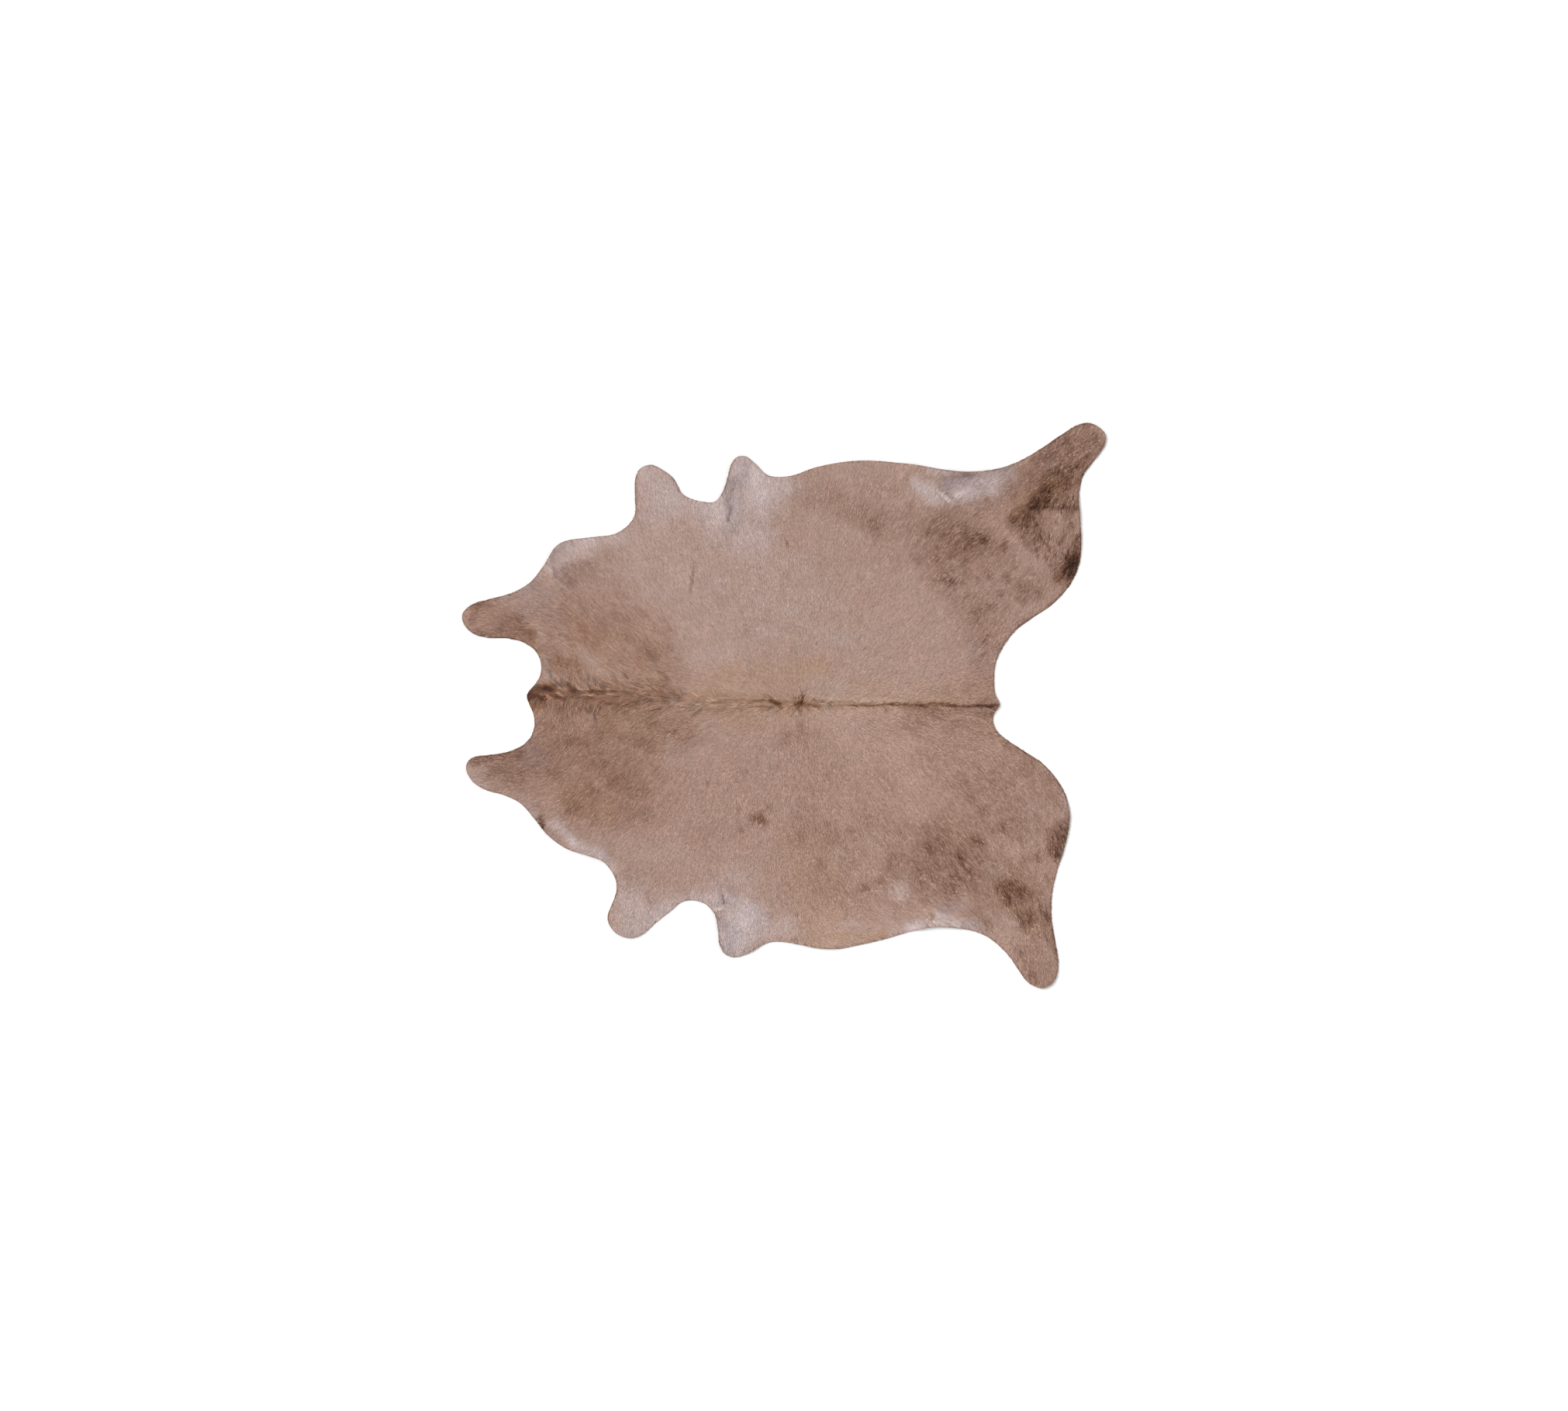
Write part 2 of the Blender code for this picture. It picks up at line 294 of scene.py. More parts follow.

# %% [markdown]
# ## Folds
# A hide never lies quite flat. It puckers where the legs and the belly met, its lobes lift a
# little, and the edge waves. A cloth simulation could make such folds, but stiff hide keeps the
# ones it was dried with, and they have to be where they are seen. So each fold is a soft ridge
# along a straight line, the same as in the solid. Small sharp creases and shallow hollows come
# on top of them, listed one by one. Rows give start and end, reach and height in millimetres.

# %% Folds shared with the solid
Fold = namedtuple("Fold", "start end reach height")
FOLDS = {
    "right neck lobe lift": Fold((-1150, 310), (-1060, 315), 95, 6),
    "right neck crease": Fold((-838, 585), (-806, 452), 62, 10),
    "right shoulder swell": Fold((-765, 448), (-668, 520), 75, 7),
    "right foreleg ripple": Fold((-500, 860), (-450, 735), 85, 6),
    "right armpit fold": Fold((-172, 860), (-200, 655), 62, 13),
    "right brisket lobe lift": Fold((-110, 830), (-60, 740), 70, 5),
    "right belly edge wave": Fold((250, 880), (360, 872), 80, 5),
    "right groin fold": Fold((462, 835), (575, 722), 68, 12),
    "right groin puff": Fold((620, 815), (760, 790), 75, 11),
    "right groin streak": Fold((610, 738), (700, 768), 48, 5),
    "right hind leg twist": Fold((1105, 960), (985, 850), 90, 8),
    "right rump edge wave": Fold((1050, 700), (1010, 560), 85, 6),
    "root of the tail lift": Fold((775, 0), (700, 5), 60, 4),
    "left rump edge wave": Fold((1010, -400), (960, -500), 85, 5),
    "left hind leg twist": Fold((930, -1000), (900, -850), 85, 8),
    "left groin fold": Fold((515, -800), (660, -735), 68, 12),
    "left groin puff": Fold((560, -700), (650, -665), 60, 5),
    "left belly edge wave": Fold((150, -870), (60, -855), 80, 5),
    "left armpit fold": Fold((-222, -865), (-214, -670), 62, 13),
    "left brisket lobe lift": Fold((-120, -850), (-70, -770), 70, 5),
    "left foreleg ripple": Fold((-570, -820), (-520, -700), 85, 6),
    "left neck edge curl": Fold((-845, -408), (-665, -520), 75, 11),
    "left neck lobe lift": Fold((-1135, -225), (-1045, -235), 90, 6),
}
CREASES = {
    "right neck crease line": Fold((-826, 560), (-808, 450), 16, -1.6),
    "right neck pit": Fold((-790, 470), (-700, 505), 34, -2.5),
    "right neck crease lip": Fold((-842, 545), (-826, 462), 20, 1.0),
    "right armpit line": Fold((-184, 760), (-203, 676), 9, -2.5),
    "right armpit lip": Fold((-222, 700), (-203, 660), 14, 2.0),
    "right groin line": Fold((545, 770), (592, 728), 9, -4.0),
    "right groin hollow": Fold((600, 800), (665, 822), 36, -4.0),
    "right groin lip": Fold((590, 732), (700, 792), 16, 1.2),
    "left armpit line": Fold((-222, -655), (-212, -705), 9, -4.0),
    "left armpit lip": Fold((-240, -720), (-228, -735), 14, 2.0),
    "left groin line": Fold((530, -742), (508, -778), 9, -3.5),
    "left groin hollow": Fold((560, -722), (620, -712), 24, -2.5),
    "left neck edge dip": Fold((-872, -432), (-850, -412), 22, -3.5),
    "left belly edge nick": Fold((335, -815), (352, -822), 14, 2.0),
    "right rump line": Fold((965, 706), (1040, 704), 12, -1.6),
    "right rump wrinkle": Fold((560, 470), (590, 425), 8, -1.0),
}


def ridge(points, fold):
    """(1 - (d / reach)^2)^2 times the height, with d the distance to the fold's line."""
    start, end = np.array(fold.start) * MM, np.array(fold.end) * MM
    line = end - start
    share = np.clip(((points - start) @ line) / (line @ line), 0.0, 1.0)
    away = np.linalg.norm(points - start - share[..., None] * line, axis=-1)
    return fold.height * MM * np.clip(1.0 - (away / (fold.reach * MM)) ** 2, 0.0, None) ** 2


lift_grid = sum(ridge(ground, fold) for fold in FOLDS.values())
crease_grid = sum(ridge(ground, fold) for fold in CREASES.values())
print("folds up to", round(1000 * float(lift_grid.max()), 1), "mm high")

# %% [markdown]
# ## Soft random fields
# Colour, hair length and the last millimetre of height all wander over the skin. Random numbers
# on a lattice, blended smoothly between its nodes, give such a wandering value. Two or three
# sizes of it added together look natural. The last number in each call is the seed, so every
# run gives the same skin.

# %% Noise helpers
LATTICE = 512


def wander(points, size, seed):
    """Random numbers from -1 to 1 on a lattice with cells of size, blended by 3t^2 - 2t^3."""
    table = np.random.default_rng(seed).uniform(-1.0, 1.0, (LATTICE, LATTICE))
    place = points / size + LATTICE / 2
    cell = np.floor(place).astype(int)
    t = place - cell
    u, v = np.moveaxis(t * t * (3.0 - 2.0 * t), -1, 0)
    i, j = np.moveaxis(cell % LATTICE, -1, 0)
    k, m = (i + 1) % LATTICE, (j + 1) % LATTICE
    near = table[i, j] * (1 - u) + table[k, j] * u
    far = table[i, m] * (1 - u) + table[k, m] * u
    return near * (1 - v) + far * v


def wander_mix(points, size, seed, layers=3):
    """Layers of wander, each half as large and half as strong as the one before."""
    total = sum(wander(points, size / 2 ** n, seed + n) / 2 ** n for n in range(layers))
    return total / (2.0 - 0.5 ** (layers - 1))


print("noise at the middle", round(float(wander_mix(np.zeros((1, 2)), 0.1, 1)[0]), 3))

# %% [markdown]
# ## The skin's two faces
# The skin with its woolly undercoat is about 3.4 mm thick and thins towards the cut. Its lower
# face lies on the floor except under the folds. Its upper face adds creases, a slight wandering
# unevenness and the low ridge of the mane.

# %% Heights of both faces
SKIN_THICKNESS = 0.0034
RIM_THICKNESS = 0.0018
RIM_TAPER = 0.022
MANE_RISE = 0.0022
MANE_FOOT = 1.2
UNEVENNESS = 0.0008
UNEVEN_SIZE = 0.22
UNEVEN_MEAN = 0.4
LEAST_THICKNESS = 0.0012

ManeStation = namedtuple("ManeStation", "along across half_width fullness")
MANE = (
    ManeStation(-918, 40, 22, 0.55),
    ManeStation(-820, 44, 36, 0.90),
    ManeStation(-620, 34, 42, 1.00),
    ManeStation(-450, 28, 44, 0.90),
    ManeStation(-320, 14, 28, 0.80),
    ManeStation(-60, 9, 18, 0.70),
    ManeStation(60, 6, 17, 0.60),
    ManeStation(180, 4, 8, 0.45),
    ManeStation(480, 1, 6, 0.40),
    ManeStation(770, 1, 8, 0.45),
)


def mane_at(along):
    """The mane's middle line, half width and fullness at each place along the back."""
    stations = [row.along * MM for row in MANE]
    across = np.interp(along, stations, [row.across * MM for row in MANE])
    half = np.interp(along, stations, [row.half_width * MM for row in MANE])
    return across, half, np.interp(along, stations, [row.fullness for row in MANE])


inward = np.clip(-edge_distance / RIM_TAPER, 0.0, 1.0)
inward = inward * (2.0 - inward)
mane_across, mane_half, mane_full = mane_at(ground[..., 0])
mane_side = (ground[..., 1] - mane_across) / (mane_half * MANE_FOOT)
mane_ridge = np.clip(1.0 - mane_side ** 2, 0.0, None) ** 2
uneven = UNEVENNESS * (UNEVEN_MEAN + wander_mix(ground, UNEVEN_SIZE, 5)) * inward
thick_grid = RIM_THICKNESS + (SKIN_THICKNESS - RIM_THICKNESS) * inward
thick_grid = thick_grid + MANE_RISE * mane_full * mane_ridge * inward + uneven
bottom_grid = np.clip(lift_grid + np.minimum(crease_grid, 0.0), 0.0, None)
top_grid = np.maximum(lift_grid + crease_grid + thick_grid, bottom_grid + LEAST_THICKNESS)
print("upper face", round(1000 * float(top_grid[edge_distance < 0].max()), 1), "mm at its highest")

# %% [markdown]
# ## The sheet of skin
# The sheet is a square grid on the ground, cut to the outline: grid points near the edge are
# moved onto it, and cells that have a corner left outside are dropped. The same points give the
# lower face, and a band of faces closes the cut edge. Blender's Solidify could add the second
# face, but here the two faces are not parallel: the hollows are pressed into the top only.

# %% Cut the grid to the outline
SHEET_STEP = 0.0092
SHEET_MARGIN = 0.01
SNAP = 0.5
SNAP_ROUNDS = 2


def onto_edge(points):
    """Moves points onto the edge: minus the distance times its gradient, SNAP_ROUNDS times."""
    probe = GRID_STEP / 2.0
    for _ in range(SNAP_ROUNDS):
        away = read_grid(edge_distance, points)
        slope = np.stack([
            read_grid(edge_distance, points + shift) - read_grid(edge_distance, points - shift)
            for shift in (np.array([probe, 0.0]), np.array([0.0, probe]))], -1)
        slope /= np.maximum(np.linalg.norm(slope, axis=-1, keepdims=True), 1e-9)
        points = points - away[:, None] * slope
    return points


def cut_sheet():
    """Grid points inside the outline, with quads and, where a corner is out, triangles."""
    low, high = edge.min(axis=0) - SHEET_MARGIN, edge.max(axis=0) + SHEET_MARGIN
    axes = [np.arange(low[a], high[a], SHEET_STEP) for a in (0, 1)]
    nodes = np.stack(np.meshgrid(*axes, indexing="ij"), -1)
    shape = nodes.shape[:2]
    flat = nodes.reshape(-1, 2)
    away = read_grid(edge_distance, flat)
    near = np.abs(away) < SNAP * SHEET_STEP
    flat[near] = onto_edge(flat[near])
    kept = away < SNAP * SHEET_STEP
    index = np.arange(len(flat)).reshape(shape)
    corners = np.stack([index[:-1, :-1], index[1:, :-1], index[1:, 1:], index[:-1, 1:]], -1)
    corners = corners.reshape(-1, 4)
    count = kept[corners].sum(1)
    quads = corners[count == 4]
    three = corners[count == 3]
    out = np.argmin(kept[three], axis=1)
    turn = (out[:, None] + np.arange(1, 4)) % 4
    triangles = np.take_along_axis(three, turn, axis=1)
    used = np.unique(np.concatenate([quads.ravel(), triangles.ravel()]))
    renumber = np.zeros(len(flat), int)
    renumber[used] = np.arange(len(used))
    return flat[used], renumber[quads], renumber[triangles]


def rim_edges(quads, triangles):
    """Pairs of points that only one face joins, in the order in which that face has them.

    To count a pair it is made one number: the smaller point times 2^32, plus the larger one.
    """
    pairs = [np.stack([f, np.roll(f, -1, axis=1)], -1).reshape(-1, 2) for f in (quads, triangles)]
    pairs = np.concatenate(pairs)
    key = np.sort(pairs, axis=1) @ np.array([1 << 32, 1])
    _, first, count = np.unique(key, return_index=True, return_counts=True)
    return pairs[first[count == 1]]


sheet_points, sheet_quads, sheet_triangles = cut_sheet()
sheet_rim = rim_edges(sheet_quads, sheet_triangles)
rim_use = np.bincount(sheet_rim.ravel())
closed = bool((rim_use[rim_use > 0] == 2).all())
print("sheet", len(sheet_points), "points,", len(sheet_quads), "quads,", len(sheet_triangles),
      "triangles,", len(sheet_rim), "rim edges, rim closed:", closed)

# %% [markdown]
# ## Which way the hair lies
# Hair grows away from the whorl on the back, down the sides and out along the legs. It could be
# combed by hand in Blender, but a table can be read and changed. Guides with a place in
# millimetres and an angle in degrees say where the tips point, anticlockwise from the tail's
# direction. Each guide counts by 1 / (1 + (d / reach)^2)^2, and the right and the left side are
# kept apart, because the hair parts along the spine. Noise drawn out along this direction gives
# the streaks of a real coat. For the colour marks it is read from a grid of directions.

# %% The guides
BROAD_REACH = 60.0
LOCAL_REACH = 34.0
STREAK_TAPS = 7
FLOW_STRIDE = 4
RIGHT_GUIDES = (
    (-1100, 320, 175), (-950, 320, 165), (-860, 500, 140), (-880, 150, 150), (-600, 100, 150),
    (-600, 300, 130), (-650, 550, 120), (-450, 760, 98), (-400, 500, 112), (-400, 250, 125),
    (-400, 60, 165), (-200, 60, 150), (-200, 250, 110), (-200, 600, 98), (-140, 830, 85),
    (0, 100, 92), (0, 350, 88), (0, 700, 85), (55, 40, 90), (150, 60, 55), (200, 300, 65),
    (200, 700, 72), (400, 40, 25), (400, 200, 45), (450, 500, 55), (450, 800, 60),
    (700, 30, 15), (700, 200, 45), (750, 500, 42), (700, 780, 30), (900, 420, 60),
    (1000, 600, 72), (1000, 720, 70), (900, 780, 45), (1050, 900, 42), (1120, 960, 45))
LEFT_GUIDES = (
    (-1080, -240, 185), (-950, -260, 200), (-860, -350, 215), (-880, -60, 225),
    (-600, -100, 220), (-600, -300, 230), (-650, -480, 235), (-560, -740, 262),
    (-400, -500, 255), (-400, -250, 240), (-400, -40, 200), (-200, -60, 215),
    (-200, -300, 255), (-200, -600, 268), (-180, -840, 270), (0, -80, 268), (0, -400, 275),
    (0, -750, 285), (55, -30, 270), (150, -60, 305), (200, -300, 298), (200, -700, 300),
    (250, -830, 345), (400, -40, 340), (400, -250, 310), (450, -550, 305), (550, -730, 320),
    (700, -30, 345), (700, -250, 315), (750, -500, 310), (800, -700, 300), (950, -400, 300),
    (970, -550, 290), (920, -750, 285), (920, -950, 280))
RIGHT_COWLICKS = (
    (-730, 85, 62), (-690, 95, 100), (-540, 40, 165), (-350, 24, 170), (-250, 18, 172),
    (-120, 16, 172), (-40, 16, 165), (10, 18, 150), (100, 16, 14), (200, 16, 8), (300, 16, 6),
    (400, 14, 5), (500, 14, 5), (600, 14, 5), (700, 14, 5))
LEFT_COWLICKS = (
    (-740, -20, 310), (-850, -5, 300), (-540, 14, 195), (-350, 4, 190), (-250, 2, 188),
    (-120, 0, 188), (-40, -2, 195), (10, -6, 212), (100, -6, 346), (200, -6, 352),
    (300, -6, 354), (400, -6, 355), (500, -6, 355), (600, -6, 355), (700, -6, 355))


def turned(angle):
    """The unit vector of an angle and the one a quarter turn to its left."""
    way = np.stack([np.cos(angle), np.sin(angle)], -1)
    return way, np.stack([-way[..., 1], way[..., 0]], -1)


def guided(points, broad, local):
    """Unit vectors: the guides' directions added up by their weights, then set to length one."""
    total = np.zeros_like(points)
    for rows, reach in ((broad, BROAD_REACH), (local, LOCAL_REACH)):
        for x, y, angle in rows:
            away = np.linalg.norm(points - np.array([x, y]) * MM, axis=-1) / (reach * MM)
            way, _ = turned(np.radians(angle))
            total += ((1.0 + away ** 2) ** -2.0)[:, None] * way
    return total / np.linalg.norm(total, axis=1, keepdims=True)


def flow_angle(points):
    """The direction of the hair at each point, as an angle."""
    right = guided(points, RIGHT_GUIDES, RIGHT_COWLICKS)
    left = guided(points, LEFT_GUIDES, LEFT_COWLICKS)
    above = points[:, 1] > mane_at(points[:, 0])[0]
    way = np.where(above[:, None], right, left)
    return np.arctan2(way[:, 1], way[:, 0])


def drawn_out(points, angle, size, length, seed):
    """Wander averaged over STREAK_TAPS places along the hair, up to length to either side."""
    way, _ = turned(angle)
    taps = np.linspace(-length, length, STREAK_TAPS)
    return sum(wander(points + tap * way, size, seed) for tap in taps) / STREAK_TAPS


def ground_flow():
    """The hair's angle on the whole grid, worked out at each FLOW_STRIDE-th node and repeated."""
    few = ground[::FLOW_STRIDE, ::FLOW_STRIDE]
    angle = flow_angle(few.reshape(-1, 2)).reshape(few.shape[:2])
    angle = np.repeat(np.repeat(angle, FLOW_STRIDE, axis=0), FLOW_STRIDE, axis=1)
    return angle[:grid_shape[0], :grid_shape[1]]


flow_grid = ground_flow()
shoulder_angle = float(np.degrees(flow_angle(np.array([[-0.4, 0.5]])))[0])
print("hair on the right shoulder points to", round(shoulder_angle), "degrees")

# %% [markdown]
# ## Colour marks
# The coat is a warm taupe with a rusty neck, brown mottled rumps, pale shoulders and greyish places
# in the armpits and the groin. It could be painted on an image, but a table of marks needs no file
# and is sharp at any size. Each mark is a soft spot or a soft line: start and end in millimetres,
# reach, and strength. Dark, rust and ochre are pigments and add up; some dark and grey marks paint
# shade in creases, pits and hollows, and some pale and bright ones paint highlights on their lips.
# Grey, pale and bright are veils that cover what is below them.

# %% The marks' table
MARKS = {
    "dark": {
        "right neck lobe": (
            (-980, 290, -940, 290, 50, 0.14), (-1110, 362, -950, 402, 40, 0.14),
            (-1080, 256, -905, 242, 40, 0.26), (-1090, 362, -1060, 368, 30, 0.20),
            (-1120, 300, -1100, 330, 34, 0.14), (-1012, 288, -1002, 280, 22, 0.14),
            (-945, 300, -905, 252, 36, 0.14)),
        # Painted shade of the neck pit and shoulder swell: the marks from (-805, 456) to (-700,
        # 502).
        # Painted shadow: the thin lines from 100 to 250 mm across shade small folds.
        "right side of the neck": (
            (-740, 380, -600, 380, 110, 0.08), (-890, 440, -830, 530, 50, 0.12),
            (-745, 470, -702, 488, 52, 0.15), (-745, 104, -715, 96, 24, 0.14),
            (-866, 214, -852, 204, 24, 0.14), (-800, 250, -770, 240, 7, 0.22),
            (-790, 224, -756, 233, 7, 0.22), (-770, 204, -738, 215, 6, 0.20),
            (-820, 205, -800, 160, 8, 0.18), (-840, 130, -760, 100, 14, 0.14),
            (-660, 300, -640, 290, 22, 0.14), (-770, 474, -700, 502, 26, 0.10),
            (-805, 456, -750, 440, 30, 0.20), (-795, 156, -745, 150, 24, 0.08)),
        "right shoulder": (
            (-430, 170, -420, 120, 110, 0.08), (-515, 345, -500, 335, 30, 0.12),
            (-600, 330, -560, 300, 26, 0.18), (-560, 240, -540, 225, 20, 0.16),
            (-475, 190, -455, 170, 26, 0.20), (-430, 110, -410, 90, 22, 0.12),
            (-315, 510, -335, 400, 9, 0.30)),
        # Painted shade: the two thin dark lines lie in the armpit crease.
        "right armpit and brisket lobe": (
            (-206, 765, -202, 712, 7, 0.10), (-188, 700, -199, 656, 6, 0.30)),
        "right flank": (
            (340, 620, 420, 520, 80, 0.06), (0, 590, 12, 565, 7, 0.28),
            (8, 462, 16, 446, 7, 0.22), (-225, 428, -223, 426, 8, 0.25),
            (-150, 330, -148, 328, 8, 0.24), (-262, 282, -260, 280, 7, 0.22),
            (-180, 390, -178, 388, 7, 0.20), (-125, 262, -123, 260, 7, 0.20)),
        "right belly": (
            (60, 775, 320, 650, 70, 0.13), (320, 650, 500, 635, 90, 0.14),
            (300, 740, 380, 760, 60, 0.08)),
        # Painted shade: the line from (556, 788) and the marks from (575, 812) to (664, 822) lie in
        # the groin crease and hollow.
        "right groin": (
            (660, 705, 800, 715, 60, 0.14), (556, 788, 586, 738, 5, 0.24),
            (644, 825, 664, 822, 14, 0.34), (575, 812, 640, 822, 12, 0.12),
            (770, 765, 806, 760, 30, 0.24), (722, 722, 738, 706, 22, 0.12),
            (440, 712, 450, 700, 34, 0.16), (430, 812, 448, 780, 12, 0.12)),
        "right rump": (
            (560, 590, 700, 560, 170, 0.24), (610, 590, 690, 580, 90, 0.16),
            (850, 430, 760, 300, 170, 0.13), (1004, 690, 1010, 655, 40, 0.32),
            (870, 705, 830, 660, 54, 0.50), (822, 665, 815, 645, 34, 0.34),
            (833, 640, 857, 605, 24, 0.30), (1050, 590, 1030, 500, 52, 0.62),
            (1048, 525, 1032, 455, 34, 0.50), (1015, 505, 985, 478, 50, 0.42),
            (1000, 606, 990, 580, 9, 0.50), (960, 660, 978, 640, 9, 0.42),
            (865, 640, 872, 612, 8, 0.50), (888, 668, 900, 640, 8, 0.46),
            (915, 604, 925, 574, 8, 0.46), (890, 592, 896, 566, 8, 0.40),
            (945, 612, 950, 588, 8, 0.44), (975, 592, 982, 566, 8, 0.42),
            (1006, 572, 1012, 546, 8, 0.46), (930, 542, 938, 520, 8, 0.40),
            (960, 556, 968, 532, 8, 0.42), (850, 600, 856, 580, 8, 0.36),
            (990, 682, 1000, 660, 8, 0.38), (1020, 662, 1026, 638, 8, 0.42),
            (905, 692, 918, 672, 9, 0.42), (905, 642, 915, 618, 10, 0.46),
            (940, 570, 950, 545, 10, 0.44), (900, 560, 905, 530, 12, 0.32),
            (880, 490, 890, 470, 20, 0.22), (950, 500, 960, 490, 16, 0.20),
            (820, 520, 826, 490, 16, 0.22), (698, 604, 706, 580, 24, 0.40),
            (656, 592, 660, 570, 40, 0.22), (787, 580, 788, 550, 15, 0.38),
            (560, 660, 640, 640, 44, 0.16), (775, 560, 780, 545, 16, 0.34),
            # Painted shade of small folds: the thin line at 444 mm across and the upright ones at
            # 510 to 642 mm.
            (684, 452, 688, 444, 16, 0.34), (530, 444, 622, 444, 9, 0.20),
            (510, 620, 512, 580, 12, 0.16), (548, 560, 550, 510, 11, 0.15),
            (592, 540, 594, 480, 11, 0.15), (640, 520, 642, 460, 11, 0.15),
            (725, 470, 730, 455, 20, 0.24), (790, 460, 800, 445, 22, 0.24),
            (741, 345, 748, 335, 24, 0.26), (692, 322, 700, 300, 30, 0.28),
            (705, 235, 712, 222, 20, 0.16), (835, 380, 850, 365, 20, 0.22),
            (905, 400, 915, 390, 18, 0.20), (770, 400, 776, 385, 18, 0.20),
            (710, 175, 716, 170, 18, 0.18), (470, 525, 475, 515, 24, 0.16),
            (585, 440, 590, 430, 20, 0.16), (885, 640, 905, 590, 84, 0.44),
            (1005, 515, 985, 480, 80, 0.20), (560, 470, 640, 390, 120, 0.18),
            (690, 290, 740, -60, 110, 0.17), (434, 664, 446, 654, 26, 0.12),
            # Painted shade of small folds: the thin lines at (475, 447) and at 472 mm along.
            (475, 447, 640, 436, 8, 0.14), (470, 600, 474, 487, 7, 0.10),
            (1030, 470, 1040, 450, 22, 0.16), (1000, 472, 1008, 466, 26, 0.22),
            (960, 694, 955, 684, 18, 0.16), (850, 690, 842, 676, 12, 0.24),
            (826, 668, 822, 652, 11, 0.14), (870, 655, 868, 636, 10, 0.24),
            (890, 632, 890, 614, 9, 0.30), (850, 630, 852, 616, 9, 0.28),
            (1030, 530, 1022, 500, 22, 0.14), (975, 452, 1016, 486, 34, 0.16),
            (1005, 470, 1040, 492, 30, 0.12), (1000, 500, 994, 480, 14, 0.32),
            (1040, 590, 1036, 565, 12, 0.34), (1010, 545, 1006, 525, 11, 0.26),
            (690, 612, 694, 596, 14, 0.24), (712, 590, 716, 574, 12, 0.24),
            (640, 610, 646, 590, 16, 0.18), (560, 50, 640, 50, 50, 0.13),
            (850, 415, 900, 410, 55, 0.18), (1018, 428, 1008, 415, 26, 0.34),
            (686, 688, 690, 676, 10, 0.24), (1010, 640, 1000, 590, 70, 0.16),
            (955, 520, 965, 510, 30, 0.18)),
        "right hind leg": (
            (1070, 950, 960, 830, 120, 0.34), (880, 740, 1040, 830, 90, 0.30),
            (950, 712, 1050, 716, 42, 0.42), (925, 770, 905, 720, 58, 0.52),
            (990, 790, 940, 760, 44, 0.22), (1050, 830, 1020, 760, 44, 0.26),
            (870, 702, 1050, 702, 12, 0.42), (1100, 960, 1110, 940, 22, 0.20),
            (1060, 900, 1075, 880, 24, 0.22), (1010, 905, 1020, 890, 22, 0.20),
            (810, 790, 1000, 920, 70, 0.20), (925, 760, 915, 740, 22, 0.34),
            (900, 720, 890, 700, 16, 0.36), (880, 745, 872, 728, 14, 0.30),
            (950, 750, 944, 728, 14, 0.32), (975, 745, 970, 722, 12, 0.28),
            (1010, 735, 1006, 714, 12, 0.24), (880, 900, 985, 955, 46, 0.26),
            (1040, 1002, 1085, 1006, 32, 0.26), (1030, 728, 1036, 745, 24, 0.22)),
        "mane on the neck": (
            (-885, 62, -820, 60, 22, 0.82), (-852, 60, -836, 56, 17, 0.70),
            (-768, 76, -752, 58, 17, 0.68), (-770, 52, -600, 50, 5.5, 0.60),
            (-922, 44, -900, 36, 18, 0.66), (-880, 36, -856, 23, 10, 0.54),
            (-828, 38, -786, 22, 11, 0.80), (-690, 52, -640, 42, 14, 0.50),
            (-750, 30, -680, 26, 9, 0.42), (-645, 11, -585, 5, 9, 0.32),
            (-440, 44, -418, 6, 20, 0.36), (-458, -16, -430, -20, 12, 0.20),
            (-690, 78, -420, 74, 32, 0.18), (-380, 20, -290, 12, 6, 0.10),
            (-560, -40, -540, 20, 44, 0.12), (-918, 52, -902, 56, 13, 0.55)),
        "whorl and back": (
            (-250, 10, -150, 12, 6, 0.20), (-112, 16, -50, 19, 7, 0.36),
            (-50, 18, -14, 8, 12, 0.85), (-32, 8, -8, -8, 9, 0.60), (-100, -2, -40, -6, 7, 0.24),
            (44, 1, 60, 8, 15, 0.95), (62, 14, 66, 42, 8, 0.70), (64, 2, 86, 0, 13, 0.36),
            (50, -8, 54, -18, 9, 0.35)),
        "line to the tail": (
            (88, 3, 130, -2, 9, 0.50), (114, 14, 134, 13, 5, 0.60), (98, 18, 112, 18, 4, 0.42),
            (104, -4, 124, -5, 5, 0.42), (138, 11, 176, 10, 4, 0.30), (180, 12, 262, 13, 4, 0.24),
            (165, -1, 250, 1, 4, 0.40), (245, 1, 350, 0, 5.5, 0.56), (352, 2, 380, 2, 6.5, 0.80),
            (384, 3, 405, 1, 7, 0.90), (412, 4, 436, 4, 5.5, 0.62), (415, -2, 428, -6, 5, 0.32),
            (438, 0, 470, 0, 4, 0.45), (466, 3, 492, -2, 6, 0.90), (490, 3, 530, 4, 4, 0.34),
            (495, -3, 540, -1, 4, 0.30), (520, 7, 590, 6, 4.5, 0.50), (540, -1, 640, 0, 5, 0.66),
            (595, 1, 612, -1, 6, 0.42), (640, -1, 690, -1, 6.5, 0.66), (690, 2, 712, 0, 7, 0.85),
            (718, 2, 742, -5, 8, 0.95), (740, 2, 768, 1, 6, 0.75), (720, -4, 750, -5, 5, 0.50),
            (545, -28, 560, -45, 30, 0.16), (508, 50, 516, 46, 26, 0.12),
            (440, -9, 780, -10, 34, 0.26), (350, -20, 360, -24, 16, 0.14)),
        "left neck lobe": (
            (-1100, -190, -950, -168, 42, 0.42), (-1040, -255, -960, -275, 55, 0.20),
            (-1020, -225, -915, -230, 50, 0.20)),
        "left side of the neck": (
            # Painted shade: the marks near (-860, -400 to -432) lie where the neck's edge curls
            # down.
